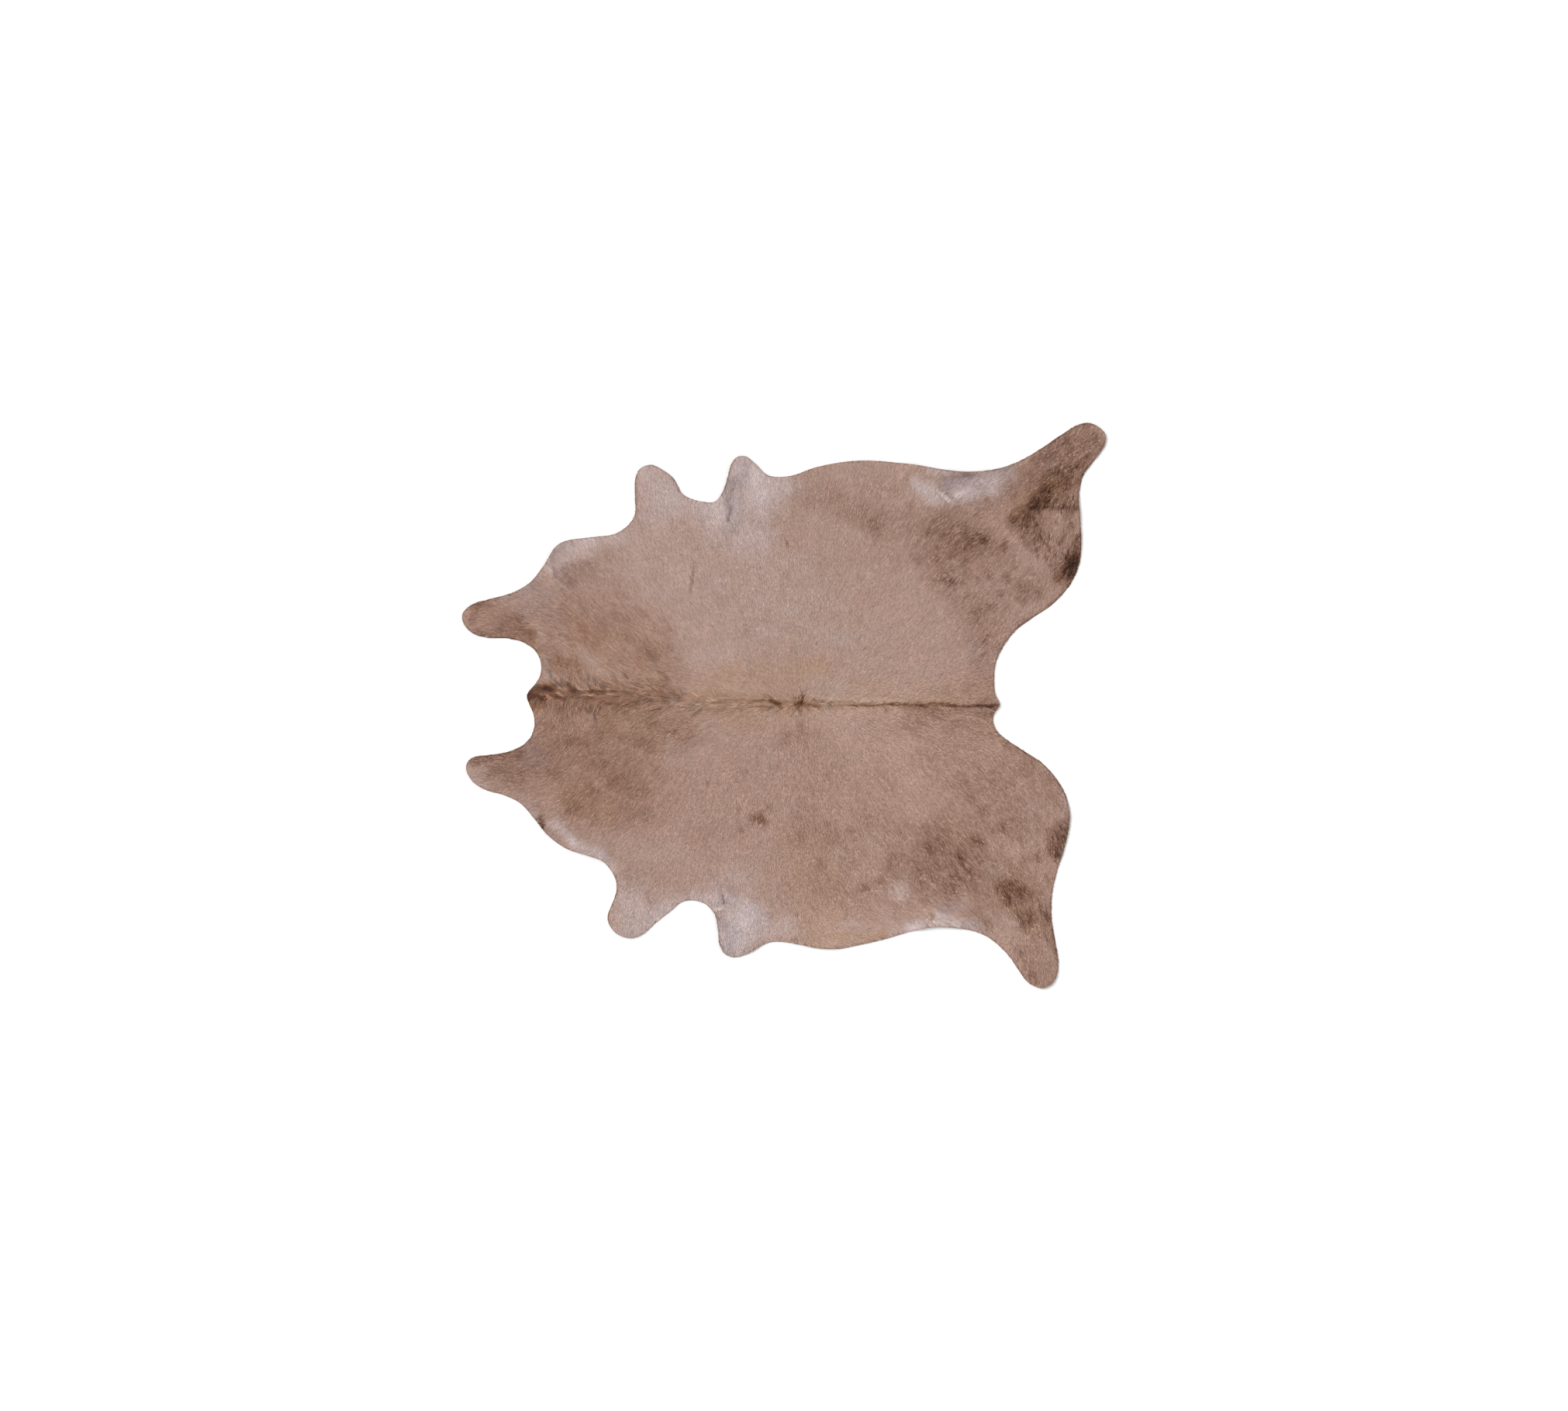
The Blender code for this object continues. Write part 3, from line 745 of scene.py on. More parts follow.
            (-862, -400, -858, -432, 24, 0.64), (-872, -360, -858, -380, 22, 0.16),
            (-716, -254, -704, -266, 26, 0.12), (-775, -198, -765, -205, 30, 0.10),
            (-700, -290, -660, -300, 30, 0.12), (-730, -120, -700, -130, 26, 0.12),
            (-820, -230, -790, -250, 30, 0.14), (-760, -360, -745, -372, 38, 0.28),
            (-700, -386, -680, -394, 36, 0.16), (-775, -125, -770, -130, 40, 0.18),
            (-800, -15, -790, -20, 40, 0.18), (-862, -425, -856, -430, 15, 0.45)),
        "left foreleg": (
            (-492, -664, -480, -700, 10, 0.16), (-540, -650, -540, -620, 60, 0.12)),
        "left shoulder": (
            (-600, -22, -480, -28, 58, 0.16), (-480, -80, -370, -90, 110, 0.14),
            (-352, -242, -345, -248, 26, 0.12), (-450, -60, -430, -75, 22, 0.08),
            (-480, -150, -460, -165, 26, 0.14), (-640, -210, -600, -215, 26, 0.12),
            (-390, -90, -388, -92, 12, 0.35), (-620, -90, -540, -150, 85, 0.18)),
        # Painted shade: the marks at (-225, -845) and (-216, -687) lie on the armpit fold and in
        # its crease.
        "left armpit and brisket lobe": (
            (-228, -835, -222, -855, 13, 0.30), (-120, -700, -110, -690, 40, 0.06),
            (-218, -674, -214, -700, 7, 0.55)),
        "left flank": (
            (60, -440, 220, -500, 100, 0.14), (60, -60, 70, -110, 30, 0.12),
            (10, -90, -30, -150, 30, 0.08), (240, -560, 250, -575, 26, 0.12),
            (180, -470, 186, -480, 22, 0.14), (330, -480, 340, -490, 24, 0.12),
            (120, -560, 130, -570, 24, 0.10), (60, -470, 70, -480, 20, 0.10),
            (400, -450, 410, -460, 22, 0.12), (-100, -398, -78, -406, 25, 0.62),
            (-86, -384, -80, -374, 14, 0.30), (-165, -375, -160, -365, 19, 0.20),
            (-155, -440, -150, -445, 18, 0.20), (-55, -360, -50, -355, 16, 0.20),
            (-290, -350, -285, -352, 16, 0.10), (145, -420, 150, -425, 24, 0.20),
            (230, -440, 240, -440, 22, 0.20), (295, -400, 300, -402, 20, 0.15),
            (-130, -225, -128, -228, 15, 0.20), (-275, -280, -273, -282, 13, 0.22),
            (-235, -275, -233, -277, 12, 0.20), (-170, -260, -168, -262, 12, 0.20),
            (390, -530, 340, -630, 16, 0.14), (300, -410, 520, -470, 90, 0.15),
            (380, -530, 395, -590, 60, 0.18)),
        "left belly": (
            (100, -640, 380, -650, 150, 0.10), (290, -640, 296, -650, 20, 0.12),
            (35, -838, 45, -836, 13, 0.28), (45, -740, 47, -742, 12, 0.22),
            (340, -630, 225, -670, 16, 0.12)),
        # Painted shade: (528, -746) to (507, -782) lies in the groin crease.
        "left groin": (
            (720, -760, 726, -772, 28, 0.20), (650, -768, 745, -792, 50, 0.16),
            (528, -746, 507, -782, 6, 0.40), (660, -722, 690, -735, 40, 0.16)),
        "left rump": (
            (560, -600, 660, -520, 170, 0.30), (740, -650, 860, -680, 120, 0.22),
            (860, -390, 960, -470, 150, 0.16), (720, -330, 780, -240, 150, 0.22),
            (600, -250, 640, -230, 120, 0.08), (992, -440, 972, -510, 54, 0.50),
            (955, -455, 945, -515, 44, 0.28), (625, -545, 638, -552, 40, 0.28),
            (610, -600, 618, -612, 34, 0.28), (520, -500, 525, -510, 34, 0.12),
            (585, -650, 592, -662, 34, 0.22), (768, -648, 786, -662, 32, 0.52),
            (850, -655, 856, -662, 26, 0.36), (660, -590, 668, -600, 24, 0.24),
            (560, -565, 566, -575, 22, 0.20), (690, -540, 696, -552, 22, 0.20),
            (760, -430, 766, -440, 36, 0.22), (685, -480, 692, -490, 30, 0.22),
            (840, -470, 846, -480, 26, 0.18), (900, -540, 906, -552, 22, 0.20),
            (935, -610, 940, -620, 22, 0.24), (800, -560, 806, -572, 22, 0.18),
            (860, -580, 864, -590, 18, 0.20), (625, -260, 630, -270, 40, 0.14),
            (785, -145, 790, -150, 30, 0.20), (792, -118, 846, -142, 46, 0.20),
            (700, -370, 706, -380, 26, 0.14), (840, -330, 846, -340, 26, 0.12),
            (470, -45, 620, -58, 60, 0.16), (330, -50, 760, -60, 90, 0.10),
            (584, -574, 596, -588, 24, 0.12), (480, -560, 570, -420, 95, 0.16),
            (880, -215, 975, -320, 90, 0.20), (820, -640, 840, -640, 60, 0.10),
            (810, -640, 830, -665, 26, 0.34), (790, -668, 800, -690, 18, 0.20),
            (838, -650, 846, -690, 12, 0.22), (815, -155, 826, -165, 26, 0.14),
            (1011, -400, 958, -548, 20, 0.16), (704, -470, 708, -485, 20, 0.28),
            (621, -540, 626, -560, 22, 0.12), (514, -485, 518, -500, 24, 0.12),
            (775, -425, 780, -436, 16, 0.24), (644, -270, 650, -285, 18, 0.20),
            (660, -390, 668, -400, 14, 0.18), (835, -605, 826, -620, 30, 0.16),
            (606, -286, 616, -292, 30, 0.12), (938, -246, 945, -256, 34, 0.12),
            (590, -520, 596, -535, 14, 0.10), (480, -620, 490, -640, 26, 0.14),
            (500, -180, 650, -120, 90, 0.12), (840, -560, 905, -520, 50, 0.17),
            (560, -665, 640, -640, 80, 0.14), (790, -440, 830, -400, 64, 0.18),
            (485, -680, 505, -690, 45, 0.16), (648, -320, 660, -330, 30, 0.18)),
        "left hind leg": (
            (890, -880, 925, -960, 100, 0.08), (800, -695, 812, -702, 28, 0.46),
            (925, -725, 932, -742, 32, 0.42), (880, -755, 886, -768, 28, 0.36),
            (830, -740, 836, -750, 22, 0.26), (880, -955, 886, -972, 36, 0.25),
            (915, -852, 925, -866, 26, 0.10), (826, -862, 834, -878, 22, 0.12),
            (860, -755, 930, -785, 70, 0.34), (830, -860, 850, -880, 50, 0.14),
            (869, -735, 880, -750, 20, 0.26), (930, -745, 945, -765, 18, 0.30),
            (905, -700, 912, -712, 14, 0.26), (960, -700, 975, -900, 14, 0.25),
            (888, -816, 895, -826, 30, 0.14), (850, -780, 845, -795, 40, 0.28),
            (955, -822, 955, -850, 30, 0.16), (840, -905, 850, -920, 40, 0.16)),
    },
    "rust": {
        "right neck lobe": ((-1090, 330, -980, 310, 85, 0.16),),
        "right side of the neck": (
            (-830, 270, -560, 220, 200, 0.16), (-740, 260, -660, 240, 80, 0.12),
            (-810, 150, -740, 140, 50, 0.14), (-930, 150, -790, 110, 100, 0.12)),
        "right shoulder": (
            (-585, 250, -580, 245, 46, 0.07), (-420, 275, -415, 270, 46, 0.06),
            (-530, 320, -525, 315, 46, 0.06), (-450, 170, -400, 100, 120, 0.08)),
        "right belly": ((160, 780, 240, 700, 60, 0.06),),
        "right rump": (
            (620, 580, 720, 560, 160, 0.08), (838, 694, 888, 640, 46, 0.16),
            (1010, 470, 1040, 540, 52, 0.22)),
        "right hind leg": (
            (900, 740, 1060, 880, 130, 0.08), (900, 740, 925, 704, 40, 0.12)),
        "mane on the neck": (
            (-905, 52, -850, 46, 34, 0.24), (-890, 34, -862, 22, 26, 0.16),
            (-928, 40, -908, 30, 20, 0.26), (-420, 62, -360, 40, 40, 0.10),
            (-910, 36, -420, 24, 60, 0.36)),
        "whorl and back": ((-360, 14, 60, 5, 40, 0.13),),
        "line to the tail": (
            (60, 5, 780, 3, 12, 0.10), (640, 60, 760, -120, 150, 0.05)),
        "left neck lobe": ((-1070, -235, -960, -240, 90, 0.05),),
        "left side of the neck": (
            (-800, -180, -560, -300, 230, 0.26), (-685, -180, -700, -190, 80, 0.08),
            (-760, -5, -640, -20, 34, 0.10), (-710, -325, -720, -330, 80, 0.10),
            (-880, -60, -700, -60, 120, 0.16), (-760, -380, -640, -380, 100, 0.08)),
        "left shoulder": (
            (-475, -140, -470, -145, 50, 0.07), (-610, -250, -600, -255, 50, 0.08),
            (-500, -305, -495, -310, 50, 0.07), (-450, -300, -300, -420, 170, 0.04),
            (-480, -80, -370, -90, 120, 0.10)),
        "left flank": (
            (-100, -300, 600, -300, 330, 0.06), (100, -250, 300, -330, 160, 0.04),
            (-90, -400, -88, -402, 60, 0.06), (20, -95, 120, -100, 70, 0.10)),
        "left belly": ((20, -600, 400, -640, 190, 0.05),),
        "left rump": (
            (480, -560, 560, -420, 95, 0.05), (640, -560, 860, -640, 160, 0.10),
            (786, -640, 860, -680, 50, 0.14)),
        "left hind leg": ((900, -900, 920, -980, 90, 0.10),),
    },
    "grey": {
        "right neck lobe": ((-1000, 402, -890, 432, 45, 0.28),),
        # Painted shade: the greys along the neck crease, in its pit and in the band at (-835, 315).
        "right side of the neck": (
            (-930, 340, -850, 392, 64, 0.24), (-845, 530, -790, 575, 44, 0.25),
            (-835, 315, -820, 305, 50, 0.25), (-828, 560, -808, 450, 26, 0.14),
            (-790, 470, -700, 502, 42, 0.16), (-860, 150, -800, 240, 60, 0.20)),
        # Painted shade: the first five greys lie along the armpit's fold and crease.
        "right armpit and brisket lobe": (
            (-192, 792, -166, 786, 38, 0.50), (-214, 765, -204, 705, 24, 0.50),
            (-188, 705, -197, 662, 18, 0.55), (-205, 800, -202, 775, 20, 0.50),
            (-192, 765, -186, 742, 20, 0.36), (-150, 860, -140, 840, 60, 0.14)),
        # Painted shade: the first five greys lie along the groin crease and in its hollow.
        "right groin": (
            (582, 795, 590, 752, 20, 0.52), (560, 800, 572, 785, 16, 0.45),
            (640, 822, 668, 822, 22, 0.45), (575, 806, 672, 812, 34, 0.52),
            (590, 776, 632, 788, 30, 0.46), (700, 790, 790, 838, 66, 0.30),
            (540, 850, 770, 846, 36, 0.26)),
        "left side of the neck": (
            (-912, -372, -832, -468, 42, 0.28), (-905, -160, -870, -190, 75, 0.30)),
        # Painted shade: the grey from (-220, -680) to (-214, -700) lies in the armpit crease.
        "left armpit and brisket lobe": (
            (-226, -760, -212, -780, 32, 0.44), (-250, -600, -245, -610, 30, 0.20),
            (-200, -850, -120, -760, 100, 0.22), (-220, -680, -214, -700, 24, 0.55),
            (-250, -650, -248, -725, 30, 0.26)),
        # Painted shade: this grey lies in the groin hollow.
        "left groin": ((560, -724, 625, -712, 34, 0.36),),
        "left rump": ((1000, -300, 1012, -400, 44, 0.20),),
    },
    "pale": {
        "right neck lobe": (
            (-1000, 396, -935, 424, 30, 0.26), (-940, 432, -866, 478, 44, 0.24)),
        # Painted highlight: the thin pale lines from (-845, 548) to (-762, 404) light the crease's
        # lip.
        "right side of the neck": (
            (-845, 548, -832, 515, 18, 0.26), (-722, 178, -688, 160, 44, 0.22),
            (-840, 500, -700, 570, 60, 0.32), (-820, 575, -590, 604, 46, 0.34),
            (-885, 296, -855, 225, 24, 0.30), (-868, 162, -826, 106, 27, 0.44),
            (-832, 545, -836, 486, 8, 0.40), (-836, 486, -815, 447, 8, 0.40),
            (-815, 447, -762, 404, 9, 0.30)),
        "right foreleg": (
            (-470, 820, -450, 700, 110, 0.36), (-500, 835, -440, 830, 60, 0.16)),
        "right shoulder": ((-490, 560, -370, 480, 210, 0.16),),
        # Painted highlight: (-214, 702) to (-206, 668) lights the lip beside the armpit crease.
        "right armpit and brisket lobe": (
            (-196, 648, -184, 640, 24, 0.16), (-150, 850, -80, 750, 112, 0.72),
            (-176, 736, -166, 704, 28, 0.24), (-186, 690, -176, 672, 24, 0.14),
            (-6, 684, 8, 676, 30, 0.14), (-250, 660, -120, 600, 130, 0.38),
            (-390, 745, -190, 705, 95, 0.44), (-60, 812, 10, 790, 75, 0.36),
            (-214, 702, -206, 668, 7, 0.45)),
        "right flank": (
            (78, 412, 90, 404, 36, 0.12), (26, 342, 40, 336, 36, 0.12),
            (-98, 262, -34, 272, 45, 0.16), (198, 232, 226, 228, 42, 0.16),
            (58, 506, 76, 494, 50, 0.14), (-228, 432, -212, 428, 44, 0.14),
            (254, 114, 270, 106, 42, 0.15), (-225, 300, -100, 420, 260, 0.08),
            (74, 296, 88, 286, 30, 0.14), (-60, 420, 120, 350, 160, 0.08),
            (90, 220, 260, 240, 90, 0.08), (-300, 160, -200, 180, 60, 0.10),
            (90, 80, 180, 70, 60, 0.14)),
        # Painted highlight: (583, 738) and the line from (700, 800) to (612, 746) light the
        # crease's lips.
        "right groin": (
            (520, 834, 575, 828, 24, 0.30), (470, 792, 560, 748, 38, 0.48),
            (480, 768, 530, 740, 36, 0.22), (510, 726, 610, 722, 26, 0.26),
            (583, 738, 590, 730, 13, 0.50), (700, 800, 612, 746, 12, 0.26),
            (625, 752, 765, 772, 60, 0.58), (720, 800, 800, 822, 46, 0.30)),
        "right rump": (
            (746, 162, 756, 156, 40, 0.14), (668, 212, 678, 206, 42, 0.18)),
        "right hind leg": ((954, 854, 966, 848, 30, 0.34),),
        "mane on the neck": (
            (-800, 64, -786, 54, 12, 0.24), (-330, -2, -290, -4, 9, 0.16),
            (-402, 34, -398, 2, 8, 0.34)),
        "whorl and back": (
            (-340, 2, -240, 0, 9, 0.20), (-200, -2, -150, 0, 8, 0.16),
            (-400, 12, -180, 10, 24, 0.18), (-200, 30, -60, 24, 9, 0.12)),
        "line to the tail": (
            (120, 18, 420, 14, 9, 0.20), (136, 5, 240, 6, 5, 0.34), (96, 30, 180, 24, 12, 0.20)),
        "left neck lobe": (
            (-1085, -240, -1060, -240, 60, 0.12), (-1120, -262, -1085, -284, 32, 0.26)),
        "left side of the neck": (
            (-810, -418, -750, -482, 32, 0.52), (-750, -482, -655, -530, 34, 0.50)),
        "left foreleg": (
            (-430, -742, -370, -722, 60, 0.18), (-420, -686, -400, -676, 36, 0.18),
            (-530, -790, -540, -700, 120, 0.42), (-440, -760, -300, -705, 78, 0.54),
            (-560, -815, -520, -810, 50, 0.16)),
        "left shoulder": ((-655, -535, -612, -580, 30, 0.36),),
        # Painted highlight: (-206, -668) to (-190, -695) lights the lip beside the armpit crease.
        "left armpit and brisket lobe": (
            (-190, -850, -135, -755, 108, 0.78), (-238, -770, -236, -790, 16, 0.24),
            (-232, -690, -190, -700, 56, 0.42), (-70, -820, 0, -790, 70, 0.30),
            (-200, -640, -160, -620, 100, 0.16), (-206, -668, -190, -695, 6, 0.45)),
        "left belly": (
            (392, -687, 436, -689, 6, 0.40), (426, -612, 428, -672, 18, 0.30),
            (402, -636, 405, -672, 19, 0.27), (374, -658, 382, -674, 17, 0.30),
            (200, -785, 260, -780, 30, 0.14), (60, -850, 260, -860, 36, 0.10)),
        "left groin": (
            (590, -792, 660, -788, 26, 0.32), (440, -795, 680, -772, 36, 0.52),
            (540, -744, 600, -748, 14, 0.28), (540, -754, 622, -770, 24, 0.44),
            (400, -815, 460, -800, 50, 0.20), (440, -800, 700, -796, 30, 0.34)),
        "left rump": (
            (736, -582, 746, -590, 38, 0.18), (438, -600, 442, -682, 6, 0.38)),
    },
    "ochre": {
        "right side of the neck": ((-850, 200, -520, 150, 170, 0.07),),
        "right shoulder": ((-640, 84, -440, 84, 50, 0.05),),
        "right flank": (
            (-260, 70, 130, 110, 90, 0.10), (-195, 125, -190, 128, 70, 0.06),
            (80, 125, 110, 125, 70, 0.06), (245, 85, 250, 88, 62, 0.06),
            (-75, 120, -65, 122, 60, 0.05)),
        "right rump": ((250, 70, 740, 60, 60, 0.05),),
        "right hind leg": ((850, 700, 960, 780, 90, 0.16),),
        "mane on the neck": (
            (-900, 40, -420, 20, 80, 0.08), (-900, 8, -885, -8, 26, 0.26)),
        "whorl and back": ((-340, 14, 60, 2, 60, 0.17),),
        "line to the tail": ((90, 4, 600, 4, 46, 0.14),),
        "left side of the neck": ((-760, -300, -660, -360, 120, 0.08),),
        "left shoulder": (
            (-600, -60, -300, -40, 70, 0.08), (-600, -60, -500, -130, 110, 0.10)),
        "left flank": ((-190, -40, -90, -60, 60, 0.12),),
        "left belly": (
            (345, -816, 350, -814, 18, 0.30), (90, -845, 330, -825, 36, 0.10),
            (60, -520, 160, -780, 140, 0.09)),
        "left hind leg": ((800, -680, 900, -760, 80, 0.08),),
    },
    "bright": {
        "right armpit and brisket lobe": ((-118, 850, -100, 820, 30, 0.14),),
        # Painted highlight at the upper end of the groin crease.
        "right groin": ((575, 745, 588, 732, 7, 0.35),),
        # Painted highlight: (-246, -722) to (-224, -720) lights the armpit fold.
        "left armpit and brisket lobe": (
            (-246, -722, -224, -720, 7, 0.60), (-190, -745, -140, -780, 36, 0.22)),
        "left belly": ((408, -640, 414, -668, 30, 0.12),),
        "left groin": ((506, -768, 560, -775, 14, 0.30),),
    },
}
VEILS = ("grey", "pale", "bright")


def marks_of(kind):
    """All the marks of a kind, from every part of the hide."""
    return [mark for marks_there in MARKS[kind].values() for mark in marks_there]


print({kind: len(marks_of(kind)) for kind in MARKS}, "marks of each kind")

# %% [markdown]
# ## From marks to fields
# A mark's border is never even on a real coat. So the place where a mark is looked up is shifted
# by a little noise, less for a small mark than for a large one. Then the dark pigment gets a
# mottle that runs along the hair and scattered specks, and a thin painted shadow line is laid
# along the cut. The rusty one gets a softer mottle and wide faint clouds.

# %% The marks on the grid
WARP = 0.016
WARP_SHARE = 0.38
WARP_LAYERS = ((0.75, 0.060, 11), (0.35, 0.018, 13))
WARP_MOST = 1.2

shift = np.stack([
    sum(share * wander(ground, size, seed + axis) for share, size, seed in WARP_LAYERS)
    for axis in (0, 1)], -1)


def mark_field(kind):
    """Strength * (1 - (d / reach)^2)^2 for each mark: pigments are summed, veils multiply.

    A mark is nothing beyond its reach, so only the nodes in a box round it are worked out. For
    a veil, each mark leaves 1 minus its value uncovered, and the field is 1 minus the product
    of what the marks leave.
    """
    clear = np.ones(grid_shape)
    total = np.zeros(grid_shape)
    for x1, y1, x2, y2, reach, strength in marks_of(kind):
        ends = np.array([[x1, y1], [x2, y2]]) * MM
        start, line = ends[0], ends[1] - ends[0]
        far = reach * MM
        push = min(WARP, WARP_SHARE * far)
        room = far + WARP_MOST * push
        low = np.floor((ends.min(axis=0) - room - grid_low) / GRID_STEP).astype(int)
        high = np.ceil((ends.max(axis=0) + room - grid_low) / GRID_STEP).astype(int) + 1
        part = tuple(slice(max(a, 0), max(b, 0)) for a, b in zip(low, high))
        points = ground[part] + shift[part] * push
        share = np.clip(((points - start) @ line) / max(line @ line, 1e-9), 0.0, 1.0)
        away = np.linalg.norm(points - start - share[..., None] * line, axis=-1)
        value = strength * np.clip(1.0 - (away / far) ** 2, 0.0, None) ** 2
        clear[part] *= 1.0 - value
        total[part] += value
    return 1.0 - clear if kind in VEILS else total


marks = {kind: mark_field(kind) for kind in MARKS}
print("darkest mark", round(float(marks["dark"].max()), 2), "units of pigment")

# %% Mottle, clouds, specks and a painted shadow line at the cut
SMALL_MOTTLE = 0.030
LARGE_MOTTLE = 0.085
LARGE_SHARE = 0.5
STREAK_SHARE = 1.5
MOTTLE_WIDTH = 0.0070
MOTTLE_LENGTH = 0.016
DARK_MOTTLE = 0.35
DARKEST = 1.9
RUST_MOTTLE = 0.45
RUST_MOTTLE_SIZE = 0.055
CLOUDS = 0.035
CLOUD_SIZE = 0.065
SPECKS = 2.2
SPECK_SIZE = 0.0095
SPECK_LEVEL = 0.84
# Painted shadow along the cut: strength and width of a dark line at the edge.
EDGE_SHADOW_LINE = 0.52
EDGE_SHADOW_WIDTH = 0.005

mottle = wander_mix(ground, SMALL_MOTTLE, 21) + LARGE_SHARE * wander_mix(ground, LARGE_MOTTLE, 24)
mottle = mottle + STREAK_SHARE * drawn_out(ground, flow_grid, MOTTLE_WIDTH, MOTTLE_LENGTH, 29)
marks["dark"] = np.clip(marks["dark"] * (1.0 + DARK_MOTTLE * mottle), 0.0, DARKEST)
rust_mottle = 1.0 + RUST_MOTTLE * wander_mix(ground, RUST_MOTTLE_SIZE, 27)
marks["rust"] = np.clip(marks["rust"] * rust_mottle, 0.0, 1.0)
marks["rust"] += CLOUDS * (1.0 + wander_mix(ground, CLOUD_SIZE, 31))
marks["dark"] += SPECKS * np.clip(wander(ground, SPECK_SIZE, 91) - SPECK_LEVEL, 0.0, 1.0)
# Painted shadow: a thin dark line along the cut, added to the dark field.
marks["dark"] += EDGE_SHADOW_LINE * np.exp(-(edge_distance / EDGE_SHADOW_WIDTH) ** 2)
print("mean of each field on the hide",
      {kind: round(float(field[edge_distance < 0].mean()), 3) for kind, field in marks.items()})

# %% [markdown]
# ## Locks of short hair
# Single hairs are far too thin and too many, so the hair is made of locks: narrow kites a few
# millimetres wide that lie one over the other like straw. Five locks stand together in a clump
# and share part of its tone, and noise drawn out along the hair adds longer streaks, as in a
# real coat. Where the coat is plain, a lock is lighter or darker. Where it is dark or rusty, it
# holds more or less of the dark pigment instead, so that a light lock there is still brown.

# %% Clumps of locks
CLUMP_STEP = 0.0066
CLUMP_LENGTH = 0.012
CLUMP_WIDTH = 0.0032
CLUMP_TURN_DEG = 6.0
LOCKS_PER_CLUMP = 5
LOCK_TURN_DEG = 7.0
ROOT_INSET = 0.0004
ROUGH_BY_DARK = 2.2
ROUGH_BY_RUST = 1.2
WAVE_DEG = 38.0
WAVE_SIZE = 0.026

rng = np.random.default_rng(41)


def clump_places():
    """A square grid of points over the hide, each moved by up to half a step."""
    axes = [np.arange(edge[:, a].min(), edge[:, a].max(), CLUMP_STEP) for a in (0, 1)]
    nodes = np.stack(np.meshgrid(*axes, indexing="ij"), -1).reshape(-1, 2)
    nodes = nodes + rng.uniform(-0.5, 0.5, nodes.shape) * CLUMP_STEP
    return nodes[read_grid(edge_distance, nodes) < -ROOT_INSET]


def coat_clumps():
    """Place, direction, dark, rust, roughness and tone of each clump.

    Roughness grows with the two pigments, and where it is high the hair waves by WAVE_DEG.
    """
    clump = clump_places()
    angle = flow_angle(clump) + np.radians(CLUMP_TURN_DEG) * rng.normal(size=len(clump))
    dark = read_grid(marks["dark"], clump)
    rust = read_grid(marks["rust"], clump)
    rough = np.clip(ROUGH_BY_DARK * dark + ROUGH_BY_RUST * rust, 0.0, 1.0)
    angle = angle + np.radians(WAVE_DEG) * rough * wander_mix(clump, WAVE_SIZE, 51)
    return clump, angle, dark, rust, rough, rng.normal(size=len(clump))


def scatter_locks(clump, angle):
    """Clump number, root and direction of each lock, scattered along and across its clump."""
    pick = np.repeat(np.arange(len(clump)), LOCKS_PER_CLUMP)
    way, left = turned(angle[pick])
    root = clump[pick] + way * rng.uniform(-1, 1, (len(pick), 1)) * CLUMP_LENGTH
    root = root + left * rng.uniform(-1, 1, (len(pick), 1)) * CLUMP_WIDTH
    kept = read_grid(edge_distance, root) < -ROOT_INSET
    pick, root = pick[kept], root[kept]
    turn = angle[pick] + np.radians(LOCK_TURN_DEG) * rng.normal(size=len(pick))
    return pick, root, turn


clump, clump_angle, clump_dark, clump_rust, clump_rough, clump_tone = coat_clumps()
clump_of, lock_root, lock_turn = scatter_locks(clump, clump_angle)
print(len(clump), "clumps,", len(lock_root), "locks")

# %% How light each lock is
SHARED_TONE = 0.45
SHARED_MORE_IF_DARK = 0.40
OWN_TONE = 0.85
PLAIN_CONTRAST = 0.108
PLAIN_STREAK = 0.048
PLAIN_DRIFT = 0.040
DRIFT_SIZE = 0.055
ROUGH_CONTRAST = 0.160
ROUGH_STREAK = 0.15
RUST_CONTRAST = 0.24
HEAVY_CONTRAST = 0.95
HEAVY_FROM = 0.3
BRIGHTEST_LOCK = 0.56

Streak = namedtuple("Streak", "share width length seed")
STREAKS = (Streak(1.5, 0.0055, 0.012, 71), Streak(1.3, 0.0121, 0.0216, 72))


def lock_lightness():
    """How much lighter each lock is on plain ground, and what a marked coat adds to that.

    A lock's own number mixes its clump's tone with one of its own. Plain ground takes
    PLAIN_CONTRAST of it, plus streaks and a slow drift. A marked coat takes spread times it,
    minus spread^2 / 2 so that the mean stays, plus streaks, and at most BRIGHTEST_LOCK.
    """
    heavy = np.clip(clump_dark - HEAVY_FROM, 0.0, 1.0)
    shared = SHARED_TONE + SHARED_MORE_IF_DARK * heavy[clump_of]
    own = shared * clump_tone[clump_of] + OWN_TONE * rng.normal(size=len(clump_of))
    spread = ROUGH_CONTRAST * clump_rough + HEAVY_CONTRAST * heavy + RUST_CONTRAST * clump_rust
    spread = spread[clump_of]
    streak = sum(row.share * drawn_out(clump, clump_angle, row.width, row.length, row.seed)
                 for row in STREAKS)
    drift = PLAIN_STREAK * streak + PLAIN_DRIFT * wander_mix(clump, DRIFT_SIZE, 57)
    marked = spread * own - 0.5 * spread ** 2 + (ROUGH_STREAK * clump_rough * streak)[clump_of]
    return PLAIN_CONTRAST * own + drift[clump_of], np.minimum(marked, BRIGHTEST_LOCK)


plain_light, marked_light = lock_lightness()
print("spread of lightness", round(float(plain_light.std()), 3), "on plain ground,",
      round(float(marked_light.std()), 3), "added by the marks")

